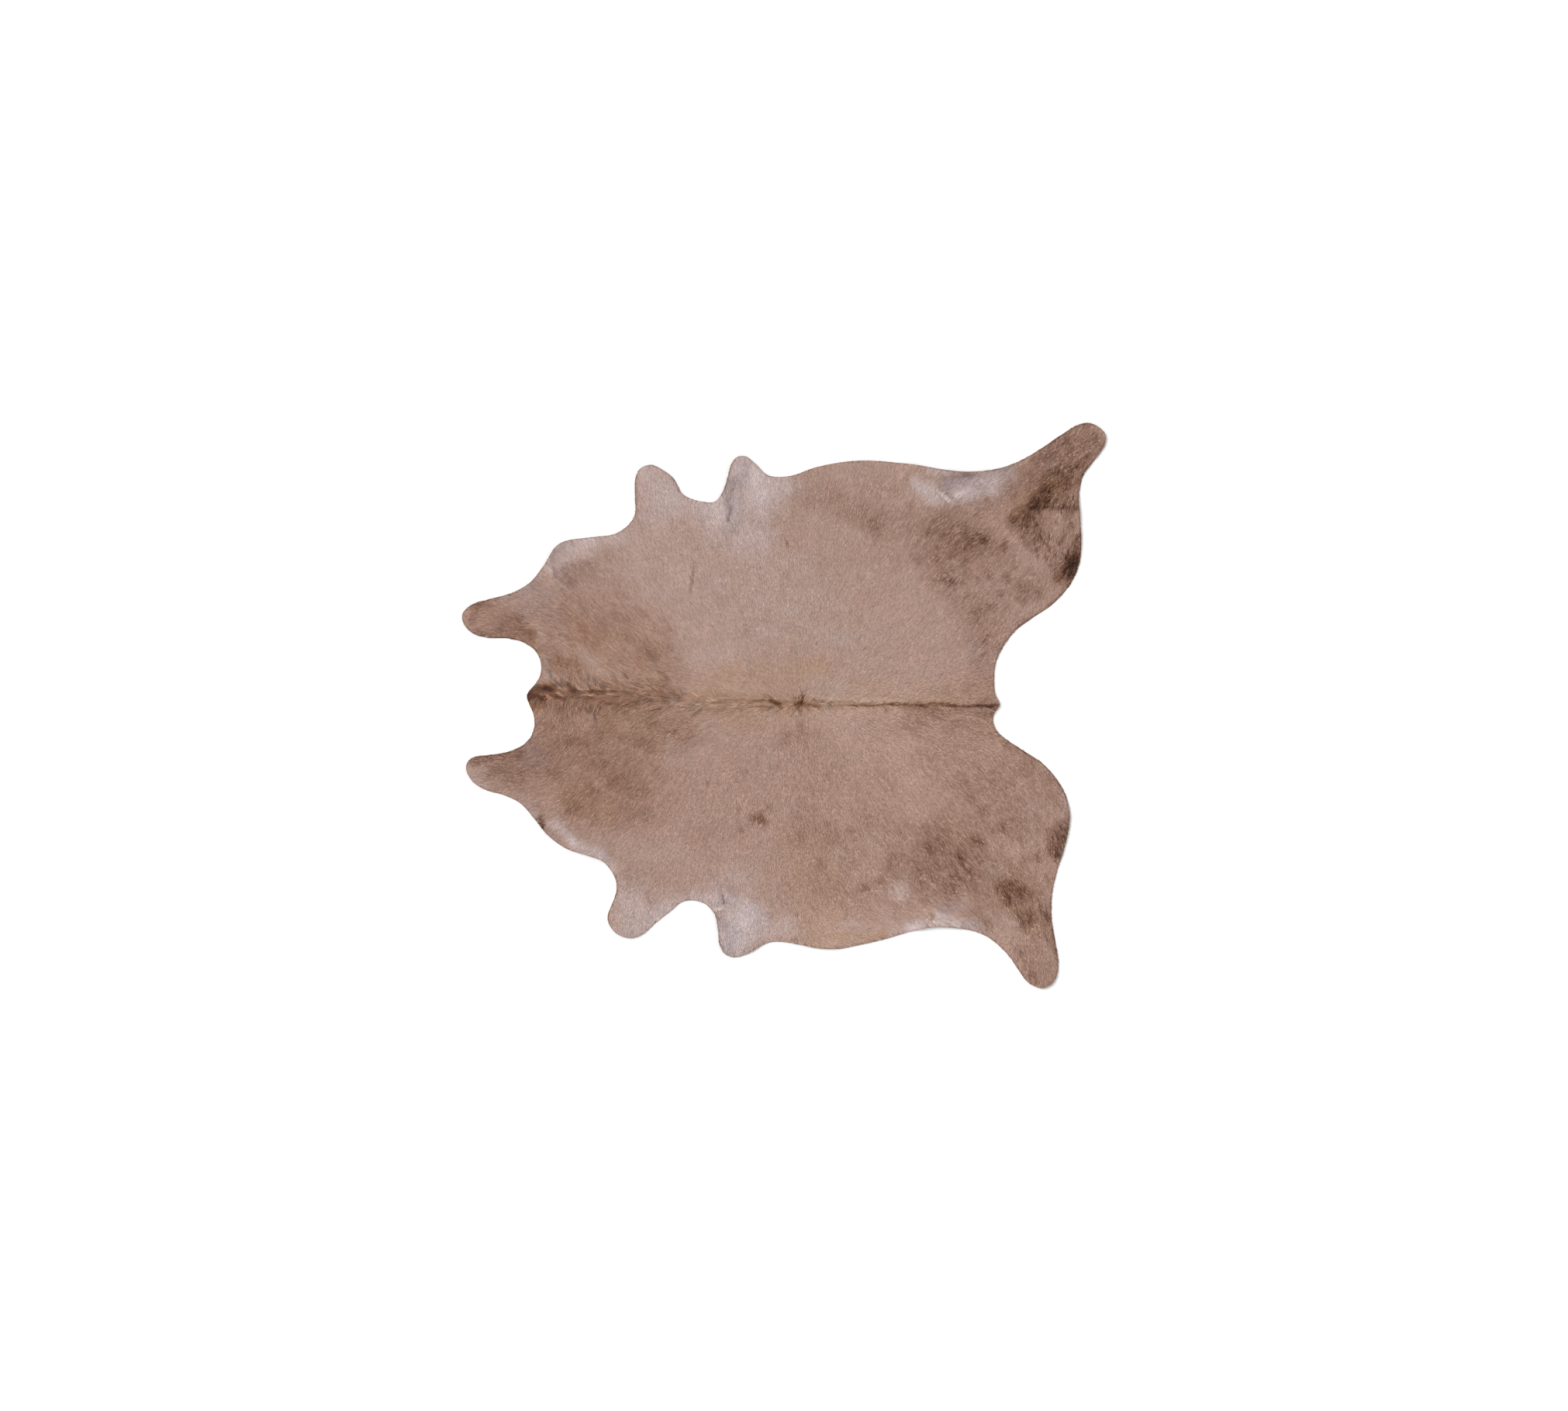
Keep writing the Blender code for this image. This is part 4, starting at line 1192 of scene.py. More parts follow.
# %% How long each lock is, and its pigment
LOCK_LENGTH = 0.020
LENGTH_SPREAD = (0.78, 1.18)
OVERHANG = 0.001
SIDE_PLACE = 0.42
STAIN_DENSITY = 1.32


def trimmed_length():
    """LOCK_LENGTH with LENGTH_SPREAD, cut where a lock would pass the edge by over OVERHANG."""
    length = LOCK_LENGTH * rng.uniform(*LENGTH_SPREAD, len(lock_root))
    way, _ = turned(lock_turn)
    start = read_grid(edge_distance, lock_root)
    end = read_grid(edge_distance, lock_root + way * length[:, None])
    over = end > OVERHANG
    length[over] *= (OVERHANG - start[over]) / (end[over] - start[over])
    return length


def lock_middle():
    """Where each lock is widest: SIDE_PLACE of its length from the root."""
    way, _ = turned(lock_turn)
    return lock_root + way * (SIDE_PLACE * lock_length)[:, None]


lock_length = trimmed_length()
lock_pigment = read_grid(marks["dark"], lock_middle())
lock_stain = np.maximum(-marked_light / STAIN_DENSITY, -lock_pigment)
lock_tone = plain_light + marked_light + STAIN_DENSITY * lock_stain
print("locks are", round(float(lock_length.mean()) * 1000, 1), "mm long on average")

# %% [markdown]
# ## The kites
# Each kite has four points: the root sunk into the skin, the two sides drooping a little, and
# the tip lifted. Blender's own hair could grow here too, but kites are plain faces that every
# program can read, and two triangles for each keep the whole coat light.

# %% The kites' points
LOCK_WIDTH = 0.0026
WIDTH_SPREAD = (0.7, 1.3)
SINK = 0.0006
TIP_LIFT = (0.0008, 0.0026)
ROUGH_LIFT = 0.4
SIDE_CLEAR = 0.0007
SIDE_DROOP = 0.0005


def kite_points():
    """Four points a lock: root, right side, tip, left side, as an array (locks, 4, 3).

    The tip's height is the skin's there plus the lift. The sides are at the height of the
    straight line from root to tip, or just over the skin if that is higher, minus the droop.
    """
    count = len(lock_root)
    way, left = turned(lock_turn)
    half = LOCK_WIDTH / 2 * rng.uniform(*WIDTH_SPREAD, count)
    tip = lock_root + way * lock_length[:, None]
    middle = lock_middle()
    sides = [middle - left * half[:, None], middle + left * half[:, None]]
    lift = rng.uniform(*TIP_LIFT, count) * (1.0 + ROUGH_LIFT * clump_rough[clump_of])
    root_z = read_grid(top_grid, lock_root) - SINK
    tip_z = read_grid(top_grid, tip) + lift
    line_z = root_z + SIDE_PLACE * (tip_z - root_z)
    side_z = [np.maximum(line_z, read_grid(top_grid, side) + SIDE_CLEAR) - SIDE_DROOP
              for side in sides]
    corners = ((lock_root, root_z), (sides[0], side_z[0]), (tip, tip_z), (sides[1], side_z[1]))
    return np.stack([np.column_stack([place, z]) for place, z in corners], axis=1)


kites = kite_points()
print("locks reach", round(1000 * float(kites[..., 2].max()), 1), "mm above the floor")

# %% [markdown]
# ## The mane
# Along the neck half of the back the hair is longer and brushed to lie along the spine, its roots
# darkened as painted shade so that the tips look paler. Behind the whorl only a narrow dark line
# is left. Kites are too
# straight for it, so these hairs are curved ribbons that taper to a point: a profile carried
# along a path whose direction turns steadily from root to tip. They grow in tufts that draw in
# to a wisp, as long hair does.

# %% Tufts of the mane
TUFTS = 780
BACK_SAMPLES = 3000
LEAST_CHANCE = 0.004
SIDE_SPREAD = 0.46
TUFT_INSET = 0.002
NECK_END = 0.10
NECK_FADE = 0.12
LEAST_LEAN = 0.25
LEAN_BY_SIDE = 1.1
TUFT_TURN_DEG = 10.0
TUFT_WAVE_DEG = 22.0
TUFT_WAVE_SIZE = 0.028
BEND_DEG = 30.0
TAIL_BEND = 0.4
NECK_STRAND = 0.052
TAIL_STRAND = 0.026
THIN_LENGTH = 0.55
TUFT_LENGTHS = (0.65, 1.25)

strand_rng = np.random.default_rng(77)


def tuft_roots():
    """Tufts drawn along the back by fullness times width, and across it by a bell curve."""
    along = np.linspace(MANE[0].along, MANE[-1].along, BACK_SAMPLES) * MM
    _, half, full = mane_at(along)
    chance = np.cumsum(half * full + LEAST_CHANCE)
    x = np.interp(strand_rng.uniform(0, 1, TUFTS), chance / chance[-1], along)
    middle, half, full = mane_at(x)
    side = strand_rng.normal(0.0, SIDE_SPREAD, TUFTS)
    root = np.column_stack([x, middle + side * half])
    inside = read_grid(edge_distance, root) < -TUFT_INSET
    return root[inside], side[inside], full[inside]


def mane_tufts():
    """Root, first direction, bend, length, neck share and tone of each tuft.

    A tuft points along the spine, and leans from there towards the short hair's direction by
    its place across the mane: LEAST_LEAN of the angle between them in the middle, all of it
    at the sides.
    """
    root, side, full = tuft_roots()
    count = len(root)
    neck = np.clip((NECK_END - root[:, 0]) / NECK_FADE, 0.0, 1.0)
    spine = np.where(neck > 0.5, np.pi, 0.0)
    lean = LEAST_LEAN + (1.0 - LEAST_LEAN) * np.clip(np.abs(side) * LEAN_BY_SIDE, 0.0, 1.0)
    between = np.angle(np.exp(1j * (flow_angle(root) - spine)))
    turn = spine + between * lean + np.radians(TUFT_TURN_DEG) * strand_rng.normal(size=count)
    turn = turn + np.radians(TUFT_WAVE_DEG) * wander(root, TUFT_WAVE_SIZE, 61)
    loose = TAIL_BEND + (1.0 - TAIL_BEND) * neck
    bend = np.radians(BEND_DEG) * strand_rng.normal(size=count) * loose
    fullness = THIN_LENGTH + (1.0 - THIN_LENGTH) * full
    length = TAIL_STRAND + (NECK_STRAND - TAIL_STRAND) * neck * fullness
    length = length * strand_rng.uniform(*TUFT_LENGTHS, count)
    return root, turn, bend, length, neck, strand_rng.normal(size=count)


# %% Strands of the mane
STRANDS_PER_TUFT = 8
STRAND_STATIONS = 7
TUFT_RADIUS = 0.0022
STRAND_TURN_DEG = 4.0
STRAND_BEND_DEG = 8.0
STRAND_LENGTHS = (0.8, 1.1)
STRAND_INSET = 0.001
DRAW_IN = 0.75
STRAND_WIDTH = 0.0019
STRAND_WIDTHS = (0.6, 1.2)
TAPER_POWER = 1.6
TIP_WIDTH = 0.0002
STRAND_TONE = 0.4


def strand_starts():
    """Root, offset in its tuft, direction, bend, length, neck share and tuft's tone of each."""
    root, turn, bend, length, neck, tone = mane_tufts()
    pick = np.repeat(np.arange(len(root)), STRANDS_PER_TUFT)
    count = len(pick)
    offset = TUFT_RADIUS * strand_rng.normal(size=(count, 2))
    root = root[pick] + offset
    turn = turn[pick] + np.radians(STRAND_TURN_DEG) * strand_rng.normal(size=count)
    bend = bend[pick] + np.radians(STRAND_BEND_DEG) * strand_rng.normal(size=count)
    length = length[pick] * strand_rng.uniform(*STRAND_LENGTHS, count)
    kept = read_grid(edge_distance, root) < -STRAND_INSET
    return [row[kept] for row in (root, offset, turn, bend, length, neck[pick], tone[pick])]


def mane_strands():
    """Centre lines, directions, widths, neck shares and tones, stations from root to tip.

    A tuft's strands start round its root and share its bend and tone. Each draws in towards
    the tuft's own line by DRAW_IN of its offset times t, so that the tuft ends in a wisp. One
    that would leave the hide is shortened to end at the edge. The width is
    (1 - t^TAPER_POWER) of the full one, plus TIP_WIDTH.
    """
    root, offset, turn, bend, length, neck, tone = strand_starts()
    count = len(root)
    t = np.linspace(0.0, 1.0, STRAND_STATIONS)
    angle = turn[:, None] + bend[:, None] * t
    way, _ = turned(angle)
    step = way * (length / (STRAND_STATIONS - 1))[:, None, None]
    run = np.concatenate([np.zeros((count, 1, 2)), np.cumsum(step[:, 1:], axis=1)], axis=1)
    path = root[:, None] + run - DRAW_IN * offset[:, None] * t[:, None]
    start, end = read_grid(edge_distance, root), read_grid(edge_distance, path[:, -1])
    share = np.where(end > 0.0, start / np.minimum(start - end, -1e-6), 1.0)
    path = root[:, None] + (path - root[:, None]) * share[:, None, None]
    full = STRAND_WIDTH * strand_rng.uniform(*STRAND_WIDTHS, count)
    width = full[:, None] * (1.0 - t ** TAPER_POWER) + TIP_WIDTH
    return path, angle, width, neck, tone + STRAND_TONE * strand_rng.normal(size=count)


mane_path, mane_angle, mane_width, mane_neck, mane_tone = mane_strands()
print(len(mane_path), "strands in the mane")

# %% Ribbons round the strands
STRAND_ARCH = 0.0018
ARCH_SPREAD = (0.3, 1.5)
STRAND_CLEAR = 0.0012
ROLL = 0.35


def ribbon_points(path, angle, width, neck):
    """Two points a station, half a width to either side, on an arch of 4 t (1 - t)."""
    t = np.linspace(0.0, 1.0, STRAND_STATIONS)
    _, left = turned(angle)
    roll = strand_rng.uniform(-ROLL, ROLL, len(path))[:, None]
    arch = STRAND_ARCH * strand_rng.uniform(*ARCH_SPREAD, len(path)) * (0.5 + 0.5 * neck)
    height = read_grid(top_grid, path.reshape(-1, 2)).reshape(path.shape[:2])
    height = height + STRAND_CLEAR * (t > 0.0) + arch[:, None] * 4.0 * t * (1.0 - t)
    rows = []
    for sign in (-1.0, 1.0):
        place = path + sign * left * width[..., None] / 2.0
        rows.append(np.concatenate([place, (height + sign * roll * width)[..., None]], -1))
    return np.stack(rows, axis=2)


ribbons = ribbon_points(mane_path, mane_angle, mane_width, mane_neck)
print("the mane reaches", round(1000 * float(ribbons[..., 2].max()), 1), "mm above the floor")

# %% [markdown]
# ## Building meshes fast
# Hundreds of thousands of faces are too many to add one by one. foreach_set copies a whole numpy
# array into the mesh at once. The same helper builds every piece, and attributes carry the
# marks and tones that the materials read.

# %% Mesh helpers
def make_mesh(name, points, faces, face_paint=None):
    """A mesh of points (n, 3) and faces given as arrays of corner numbers, one row a face."""
    mesh = bpy.data.meshes.new(name)
    corners = np.concatenate([rows.ravel() for rows in faces]).astype(np.int32)
    sizes = np.concatenate([np.full(len(rows), rows.shape[1]) for rows in faces])
    starts = np.concatenate([[0], np.cumsum(sizes)[:-1]]).astype(np.int32)
    mesh.vertices.add(len(points))
    mesh.vertices.foreach_set("co", points.astype(np.float32).ravel())
    mesh.loops.add(len(corners))
    mesh.loops.foreach_set("vertex_index", corners)
    mesh.polygons.add(len(sizes))
    mesh.polygons.foreach_set("loop_start", starts)
    if face_paint is not None:
        mesh.polygons.foreach_set("material_index", face_paint.astype(np.int32))
    mesh.update(calc_edges=True)
    return mesh


def add_attribute(mesh, name, values):
    """One number or one vector for each point of the mesh."""
    kind, key = ("FLOAT_VECTOR", "vector") if values.ndim == 2 else ("FLOAT", "value")
    layer = mesh.attributes.new(name, kind, "POINT")
    layer.data.foreach_set(key, values.astype(np.float32).ravel())


def add_map(mesh, name, corner_places):
    """A UV map with a place for every face corner, in the order of the faces."""
    layer = mesh.uv_layers.new(name=name)
    layer.data.foreach_set("uv", corner_places.astype(np.float32).ravel())


MARK_SETS = (("marks_a", ("pale", "rust", "grey")), ("marks_b", ("dark", "ochre", "bright")))


def add_marks(mesh, places, copies=1, more_dark=0.0):
    """The coat's marks at each place, for as many points of the mesh in a row as copies says.

    Three marks make one vector. more_dark is added to the dark pigment.
    """
    for name, kinds in MARK_SETS:
        values = np.column_stack([read_grid(marks[kind], places) for kind in kinds])
        if "dark" in kinds:
            values[:, kinds.index("dark")] += more_dark
        add_attribute(mesh, name, np.repeat(values, copies, axis=0))


def place_piece(mesh, smooth):
    """An object of the mesh that moves with the part, shaded smooth if smooth is true."""
    if smooth:
        mesh.shade_smooth()
    piece = bpy.data.objects.new(mesh.name, mesh)
    bpy.context.scene.collection.objects.link(piece)
    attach(piece, "root")
    return piece


print("helpers ready")

# %% [markdown]
# ## The coat's colour
# Skin, short hair and mane share one recipe, so it is a node group. It starts from taupe and lays
# the veils over it. Pigments then take away light as dye in a glass does: twice the amount
# squares what is left, and blue goes first, so dark hair is browner and not just greyer. A plain
# mix towards brown could do it too, but then many marks on one place would look like flat paint.
# At the end the roots are darkened as painted shade between the locks, and the lock's own tone
# is applied.

# %% Palette and node helpers
PALETTE = {
    "taupe": (177, 150, 139),
    "warm taupe": (177, 146, 132),
    "pale": (207, 194, 195),
    # grey: laid partly as painted shade in creases and hollows.
    "grey": (150, 138, 144),
    # bright: partly painted highlight on the lips of creases.
    "bright": (228, 212, 204),
    "flesh side": (196, 184, 168),
    "flesh side worn": (176, 160, 142),
    "cut": (188, 168, 146),
}
PIGMENTS = {
    "ochre": (0.00, 0.26, 1.00),
    "rust": (1.00, 1.50, 1.90),
    # dark: also carries painted shade in creases and the painted shadow line along the cut.
    "dark": (1.00, 1.33, 1.62),
}
MIX_FACTOR, MIX_FIRST, MIX_SECOND, MIX_RESULT = 0, 6, 7, 2


def linear(name):
    """A palette colour as linear RGBA: ((c + 0.055) / 1.055)^2.4 for each part."""
    share = np.array(PALETTE[name]) / 255.0
    return (*((share + 0.055) / 1.055) ** 2.4, 1.0)


def tint(name):
    """What one unit of a pigment leaves of red, green and blue: e to the minus its density."""
    return (*np.exp(-np.array(PIGMENTS[name])), 1.0)


def add_node(tree, kind, **values):
    """A node of a kind, with its settings by name."""
    node = tree.nodes.new(kind)
    for name, value in values.items():
        setattr(node, name, value)
    return node


def lay_over(tree, factor, below, colour):
    """A Mix node that lays a colour over another by a factor. Gives the mixed colour's socket."""
    node = add_node(tree, "ShaderNodeMix", data_type="RGBA")
    tree.links.new(factor, node.inputs[MIX_FACTOR])
    tree.links.new(below, node.inputs[MIX_FIRST])
    node.inputs[MIX_SECOND].default_value = colour
    return node.outputs[MIX_RESULT]


def dye(tree, amount, below, left):
    """Times left^amount. A Gamma node raises the pigment's tint to the power of the amount."""
    power = add_node(tree, "ShaderNodeGamma")
    power.inputs["Color"].default_value = left
    tree.links.new(amount, power.inputs["Gamma"])
    node = add_node(tree, "ShaderNodeMix", data_type="RGBA", blend_type="MULTIPLY")
    node.inputs[MIX_FACTOR].default_value = 1.0
    tree.links.new(below, node.inputs[MIX_FIRST])
    tree.links.new(power.outputs["Color"], node.inputs[MIX_SECOND])
    return node.outputs[MIX_RESULT]


def calculate(tree, operation, first, second):
    """A Math node. Its two inputs are sockets or plain numbers."""
    node = add_node(tree, "ShaderNodeMath", operation=operation)
    for slot, value in zip(node.inputs, (first, second)):
        if isinstance(value, (int, float)):
            slot.default_value = value
        else:
            tree.links.new(value, slot)
    return node.outputs[0]


def object_noise(tree, scale, detail):
    """Blender's Noise texture on the piece's own coordinates, in cells per metre."""
    place = add_node(tree, "ShaderNodeTexCoord")
    noise = add_node(tree, "ShaderNodeTexNoise")
    noise.inputs["Scale"].default_value = scale
    noise.inputs["Detail"].default_value = detail
    tree.links.new(place.outputs["Object"], noise.inputs["Vector"])
    return noise.outputs["Fac"]


print(len(PALETTE), "colours and", len(PIGMENTS), "pigments")

# %% The node group
GROUP_INPUTS = (
    ("Marks A", "NodeSocketVector", (0.0, 0.0, 0.0)),
    ("Marks B", "NodeSocketVector", (0.0, 0.0, 0.0)),
    ("Tone", "NodeSocketFloat", 0.0),
    ("Along", "NodeSocketFloat", 1.0),
    ("Root Shade", "NodeSocketFloat", 0.8),
    ("Level", "NodeSocketFloat", 1.0),
)
PATCH_SCALE = 14.0
PATCH_DETAIL = 3.0


def coat_group():
    """Taupe, veils laid over it, pigments multiplied in, then tone, root shade and level.

    The last three are (1 + tone), 1 - (1 - along) * (1 - root shade), and level.
    """
    tree = bpy.data.node_groups.new("coat colour", "ShaderNodeTree")
    for name, kind, value in GROUP_INPUTS:
        socket = tree.interface.new_socket(name=name, in_out="INPUT", socket_type=kind)
        socket.default_value = value
    tree.interface.new_socket(name="Color", in_out="OUTPUT", socket_type="NodeSocketColor")
    given = add_node(tree, "NodeGroupInput").outputs
    result = add_node(tree, "NodeGroupOutput").inputs["Color"]
    parts = []
    for name in ("Marks A", "Marks B"):
        split = add_node(tree, "ShaderNodeSeparateXYZ")
        tree.links.new(given[name], split.inputs[0])
        parts.extend(split.outputs)
    pale, rust, grey, dark, ochre, bright = parts
    taupe = add_node(tree, "ShaderNodeRGB")
    taupe.outputs[0].default_value = linear("taupe")
    patchy = object_noise(tree, scale=PATCH_SCALE, detail=PATCH_DETAIL)
    colour = lay_over(tree, patchy, taupe.outputs[0], linear("warm taupe"))
    for factor, name in ((pale, "pale"), (grey, "grey")):
        colour = lay_over(tree, factor, colour, linear(name))
    for amount, name in ((ochre, "ochre"), (rust, "rust"), (dark, "dark")):
        colour = dye(tree, amount, colour, tint(name))
    colour = lay_over(tree, bright, colour, linear("bright"))
    bare = calculate(tree, "SUBTRACT", 1.0, given["Along"])
    loss = calculate(tree, "MULTIPLY", bare, calculate(tree, "SUBTRACT", 1.0, given["Root Shade"]))
    strength = calculate(tree, "SUBTRACT", 1.0, loss)
    strength = calculate(tree, "MULTIPLY", strength, calculate(tree, "ADD", 1.0, given["Tone"]))
    strength = calculate(tree, "MULTIPLY", strength, given["Level"])
    scaled = add_node(tree, "ShaderNodeVectorMath", operation="SCALE")
    tree.links.new(colour, scaled.inputs[0])
    tree.links.new(strength, scaled.inputs["Scale"])
    tree.links.new(scaled.outputs[0], result)
    return tree


coat_colour = coat_group()
print("coat group has", len(coat_colour.nodes), "nodes")

# %% [markdown]
# ## Five materials
# Lying hair and mane are soft and a little shiny along the lock. The skin under them is the same
# colour but darker, because little light gets down there. The flesh side is pale suede, and the
# cut shows a thin line of leather. All five come from nodes and not from pictures, so they stay
# sharp at any distance.

# %% The materials
HAIR_LEVEL = 1.18
MANE_LEVEL = 1.20
UNDERCOAT_LEVEL = 0.80
COAT_SPECULAR = 0.28
SUEDE_ROUGHNESS = 0.92
SUEDE_SPECULAR = 0.15
SUEDE_SHEEN = 0.1
NAP_DETAIL = 3.0


def shader_of(name, roughness, specular, sheen):
    """A new material, its node tree and its Principled shader with these constants."""
    paint = bpy.data.materials.new(name)
    paint.use_nodes = True
    shader = paint.node_tree.nodes["Principled BSDF"]
    shader.inputs["Roughness"].default_value = roughness
    shader.inputs["Specular IOR Level"].default_value = specular
    shader.inputs["Sheen Weight"].default_value = sheen
    return paint, paint.node_tree, shader


def add_nap(tree, shader, scale, height):
    """A Bump node fed by fine noise: scale in cells per metre, height in metres."""
    nap = add_node(tree, "ShaderNodeBump")
    nap.inputs["Distance"].default_value = height
    tree.links.new(object_noise(tree, scale, NAP_DETAIL), nap.inputs["Height"])
    tree.links.new(nap.outputs["Normal"], shader.inputs["Normal"])


def coat_material(name, level, root_shade, roughness, with_locks):
    """Coat colour from the marks, and from a lock's tone and the place along it, if it has any."""
    paint, tree, shader = shader_of(name, roughness, COAT_SPECULAR, 0.0)
    group = add_node(tree, "ShaderNodeGroup", node_tree=coat_colour)
    group.inputs["Level"].default_value = level
    group.inputs["Root Shade"].default_value = root_shade
    for name, attribute in (("Marks A", "marks_a"), ("Marks B", "marks_b")):
        source = add_node(tree, "ShaderNodeAttribute", attribute_name=attribute)
        tree.links.new(source.outputs["Vector"], group.inputs[name])
    if with_locks:
        for name, attribute in (("Tone", "tone"), ("Along", "along")):
            source = add_node(tree, "ShaderNodeAttribute", attribute_name=attribute)
            tree.links.new(source.outputs["Fac"], group.inputs[name])
    tree.links.new(group.outputs["Color"], shader.inputs["Base Color"])
    return paint, tree, shader


def suede_material(name, first, second, scale, height):
    """Two tones mixed by noise in soft patches, with a fine nap as bump."""
    paint, tree, shader = shader_of(name, SUEDE_ROUGHNESS, SUEDE_SPECULAR, SUEDE_SHEEN)
    tone = add_node(tree, "ShaderNodeRGB")
    tone.outputs[0].default_value = linear(first)
    patches = object_noise(tree, scale=9.0, detail=4.0)
    colour = lay_over(tree, patches, tone.outputs[0], linear(second))
    tree.links.new(colour, shader.inputs["Base Color"])
    add_nap(tree, shader, scale, height)
    return paint


undercoat, undercoat_tree, undercoat_shader = coat_material(
    "undercoat", UNDERCOAT_LEVEL, root_shade=1.0, roughness=0.8, with_locks=False)
add_nap(undercoat_tree, undercoat_shader, scale=420.0, height=0.0012)
# root_shade darkens the roots of locks and strands as painted shade.
lying_hair = coat_material(
    "lying hair", HAIR_LEVEL, root_shade=0.74, roughness=0.58, with_locks=True)[0]
mane_hair = coat_material(
    "mane hair", MANE_LEVEL, root_shade=0.72, roughness=0.5, with_locks=True)[0]
flesh_side = suede_material(
    "flesh side suede", "flesh side", "flesh side worn", scale=900.0, height=0.0006)
cut_edge = suede_material(
    "cut leather edge", "cut", "flesh side worn", scale=1500.0, height=0.0003)
print([paint.name for paint in bpy.data.materials if paint.name != "pale floor"])

# %% [markdown]
# ## The skin piece
# The two faces and the cut come together in one closed mesh. Its map for baking could be made by
# Blender's Smart UV, but that would split the folds into many scraps. Here the upper face, the
# flesh side and the cut lie in strips of their own, so that none paints over another.

# %% Build the skin
MAP_MARGIN = 0.004
MAP_WIDTH = 1.0 - 2.0 * MAP_MARGIN
TOP_STRIP = (0.004, 0.800)
FLESH_STRIP = (0.812, 0.972)
CUT_STRIP = (0.982, 0.996)
CUT_CELL = np.array([0.9, 0.0, 0.0, 0.9])


def strip_places(points, strip):
    """The ground's box spread over the full width of the map and one strip of its height."""
    share = np.clip((points - edge.min(axis=0)) / np.ptp(edge, axis=0), 0.0, 1.0)
    across = MAP_MARGIN + MAP_WIDTH * share[:, 0]
    return np.column_stack([across, strip[0] + (strip[1] - strip[0]) * share[:, 1]])


def skin_map(rim_count):
    """Map places of all face corners: both faces by their ground, the cut in one long row."""
    above = strip_places(sheet_points, TOP_STRIP)
    below = strip_places(sheet_points, FLESH_STRIP)
    order = np.arange(rim_count)[:, None] + CUT_CELL
    height = np.broadcast_to([CUT_STRIP[1]] * 2 + [CUT_STRIP[0]] * 2, order.shape)
    cut = np.stack([MAP_MARGIN + MAP_WIDTH * order / rim_count, height], -1).reshape(-1, 2)
    return np.vstack([
        above[sheet_quads.ravel()], above[sheet_triangles.ravel()],
        below[sheet_quads[:, ::-1].ravel()], below[sheet_triangles[:, ::-1].ravel()], cut])


def build_skin():
    """Upper face, lower face turned over, and one quad for each stretch of the rim."""
    count = len(sheet_points)
    top = np.column_stack([sheet_points, read_grid(top_grid, sheet_points)])
    bottom = np.column_stack([sheet_points, read_grid(bottom_grid, sheet_points)])
    first, second = sheet_rim.T
    rim = np.column_stack([second, first, first + count, second + count])
    faces = [sheet_quads, sheet_triangles, sheet_quads[:, ::-1] + count,
             sheet_triangles[:, ::-1] + count, rim]
    paint = np.repeat([0, 0, 1, 1, 2], [len(rows) for rows in faces])
    mesh = make_mesh("skin", np.vstack([top, bottom]), faces, paint)
    for material in (undercoat, flesh_side, cut_edge):
        mesh.materials.append(material)
    add_marks(mesh, np.vstack([sheet_points, sheet_points]))
    add_map(mesh, "OFBake", skin_map(len(rim)))
    return place_piece(mesh, True)


skin = build_skin()
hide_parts("hide")
print("skin has", len(skin.data.polygons), "faces")

# %% [markdown]
# ## The hair pieces
# The coat is four pieces side by side along the back, because one would be too heavy. A kite is
# two triangles that meet along the line from root to tip. In the map for baking each lock has a
# small patch of its own, at the place on the hide where it grows.

# %% Build the lying hair
HAIR_PIECES = ("hair_neck", "hair_shoulder", "hair_belly", "hair_rump")
KITE_FACES = np.array([[0, 1, 2], [0, 2, 3]])
KITE_ALONG = np.array([0.0, SIDE_PLACE, 1.0, SIDE_PLACE])
MAP_PIXELS = 1024
KITE_PATCH = np.array([[0.0, -1.2], [0.9, 0.0], [0.0, 1.2], [-0.9, 0.0]]) / MAP_PIXELS
PATCH_MARGIN = 0.003


def build_hair(name, pick):
    """The locks with the numbers in pick, as one piece."""
    count, corners = len(pick), len(KITE_ALONG)
    faces = (np.arange(count)[:, None, None] * corners + KITE_FACES).reshape(-1, 3)
    mesh = make_mesh(name, kites[pick].reshape(-1, 3), [faces])
    mesh.materials.append(lying_hair)
    add_marks(mesh, lock_middle()[pick], corners, lock_stain[pick])
    add_attribute(mesh, "tone", np.repeat(lock_tone[pick], corners))
    add_attribute(mesh, "along", np.tile(KITE_ALONG, count))
    low, size = lock_root[pick].min(axis=0), np.ptp(lock_root[pick], axis=0)
    share = ((lock_root[pick] - low) / size)[:, ::-1]
    place = PATCH_MARGIN + (1.0 - 2.0 * PATCH_MARGIN) * share
    patch = (place[:, None] + KITE_PATCH).reshape(-1, 2)
    add_map(mesh, "OFBake", patch[faces.ravel()])
    return place_piece(mesh, False)


along_the_back = np.argsort(lock_root[:, 0], kind="stable")
shares = np.array_split(along_the_back, len(HAIR_PIECES))
hair = [build_hair(name, pick) for name, pick in zip(HAIR_PIECES, shares)]
print({piece.name: len(piece.data.polygons) for piece in hair})

# %% [markdown]
# ## The mane piece
# Each strand is a strip of six faces. Its tone wanders more than the short hair's, so that pale
# and dark strands lie side by side, and a few white hairs lie on the neck. They are listed one by
# one, because random ones would not be where the eye expects them.

# %% White hairs
WHITE_HAIRS = (
    (-856, 44, 306), (-853, 41, 300), (-849, 43, 311), (-815, 47, 318), (-811, 46, 312),
    (-808, 49, 315), (-700, 34, 14), (-694, 33, 10), (-610, 38, 160))
WHITE_HAIR_LENGTH = 0.030
WHITE_HAIR_WIDTH = 0.0016
WHITE_HAIR_BEND = 0.35
WHITE_HAIR_RISE = 0.0022


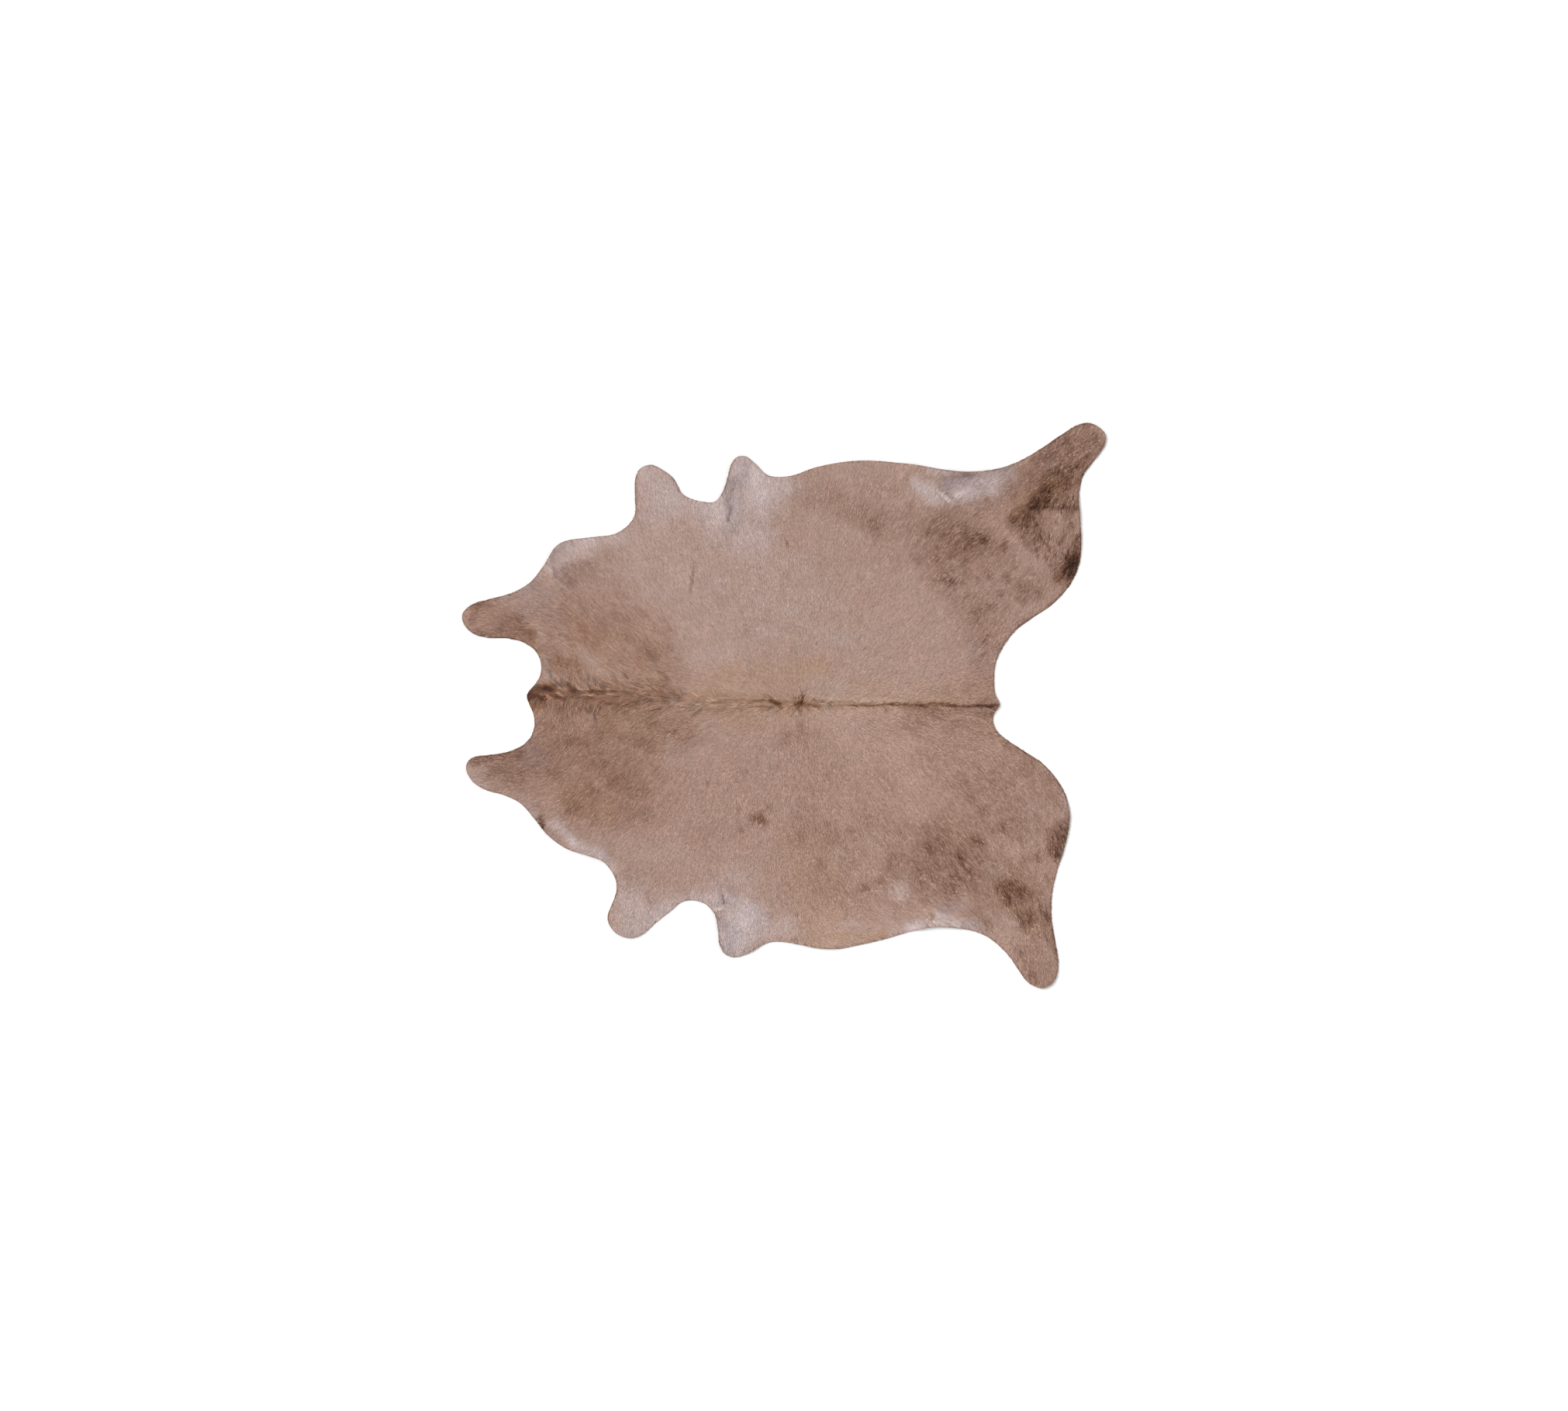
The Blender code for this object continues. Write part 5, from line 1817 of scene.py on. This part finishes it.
def white_hairs():
    """A few pale strands given by root in millimetres and angle in degrees, bent a little."""
    rows = np.array(WHITE_HAIRS, float)
    root, turn = rows[:, :2] * MM, np.radians(rows[:, 2])
    t = np.linspace(0.0, 1.0, STRAND_STATIONS)
    angle = turn[:, None] + WHITE_HAIR_BEND * t
    way, _ = turned(angle)
    step = way * WHITE_HAIR_LENGTH / (STRAND_STATIONS - 1)
    path = root[:, None] + np.cumsum(step, axis=1) - step[:, :1]
    width = WHITE_HAIR_WIDTH * (1.0 - t ** 2) + np.zeros((len(rows), 1)) + TIP_WIDTH
    points = ribbon_points(path, angle, width, np.ones(len(rows)))
    points[..., 2] += WHITE_HAIR_RISE
    return points


# %% Build the mane
MANE_CONTRAST = 0.27
MANE_TONE_LIMITS = (-0.48, 0.42)
WHITE_HAIR_TONE = 1.5
CALM_ALONG = (-0.45, -0.34)
CALM_SHARE = (1.0, 0.62)
CELL_SIDES = (0.15, 0.85)
CELL_ENDS = (0.08, 0.92)


def mane_tones(root):
    """Each strand's tone: calmer behind the neck, kept between two limits, white hairs last."""
    calm = np.interp(root[:, 0], CALM_ALONG, CALM_SHARE)
    tone = np.append(mane_tone, np.zeros(len(WHITE_HAIRS)))
    tone = np.clip(MANE_CONTRAST * calm * tone, *MANE_TONE_LIMITS)
    tone[-len(WHITE_HAIRS):] = WHITE_HAIR_TONE
    return tone


def mane_map(root, along):
    """One cell of a square table for each strand, in order along the back."""
    side = int(np.ceil(np.sqrt(len(root))))
    rank = np.argsort(np.argsort(root[:, 0], kind="stable"), kind="stable")
    cell = np.column_stack([rank // side, rank % side]) / side
    across = np.tile(CELL_SIDES, STRAND_STATIONS)
    patch = np.column_stack([across, np.interp(along, (0.0, 1.0), CELL_ENDS)]) / side
    return (cell[:, None] + patch).reshape(-1, 2)


def build_mane():
    """All strands as strips, two points a station, with the white hairs last."""
    points = np.concatenate([ribbons, white_hairs()])
    count, rows = len(points), STRAND_STATIONS * 2
    strip = np.arange(STRAND_STATIONS - 1)[:, None] * 2 + np.array([0, 1, 3, 2])
    faces = (np.arange(count)[:, None, None] * rows + strip).reshape(-1, 4)
    mesh = make_mesh("mane", points.reshape(-1, 3), [faces])
    mesh.materials.append(mane_hair)
    root = points[:, 0, :, :2].mean(axis=1)
    along = np.repeat(np.linspace(0.0, 1.0, STRAND_STATIONS), 2)
    add_marks(mesh, points[..., :2].mean(axis=2).reshape(-1, 2), 2)
    add_attribute(mesh, "tone", np.repeat(mane_tones(root), rows))
    add_attribute(mesh, "along", np.tile(along, count))
    add_map(mesh, "OFBake", mane_map(root, along)[faces.ravel()])
    return place_piece(mesh, False)


mane = build_mane()
print("mane has", len(mane.data.polygons), "faces")
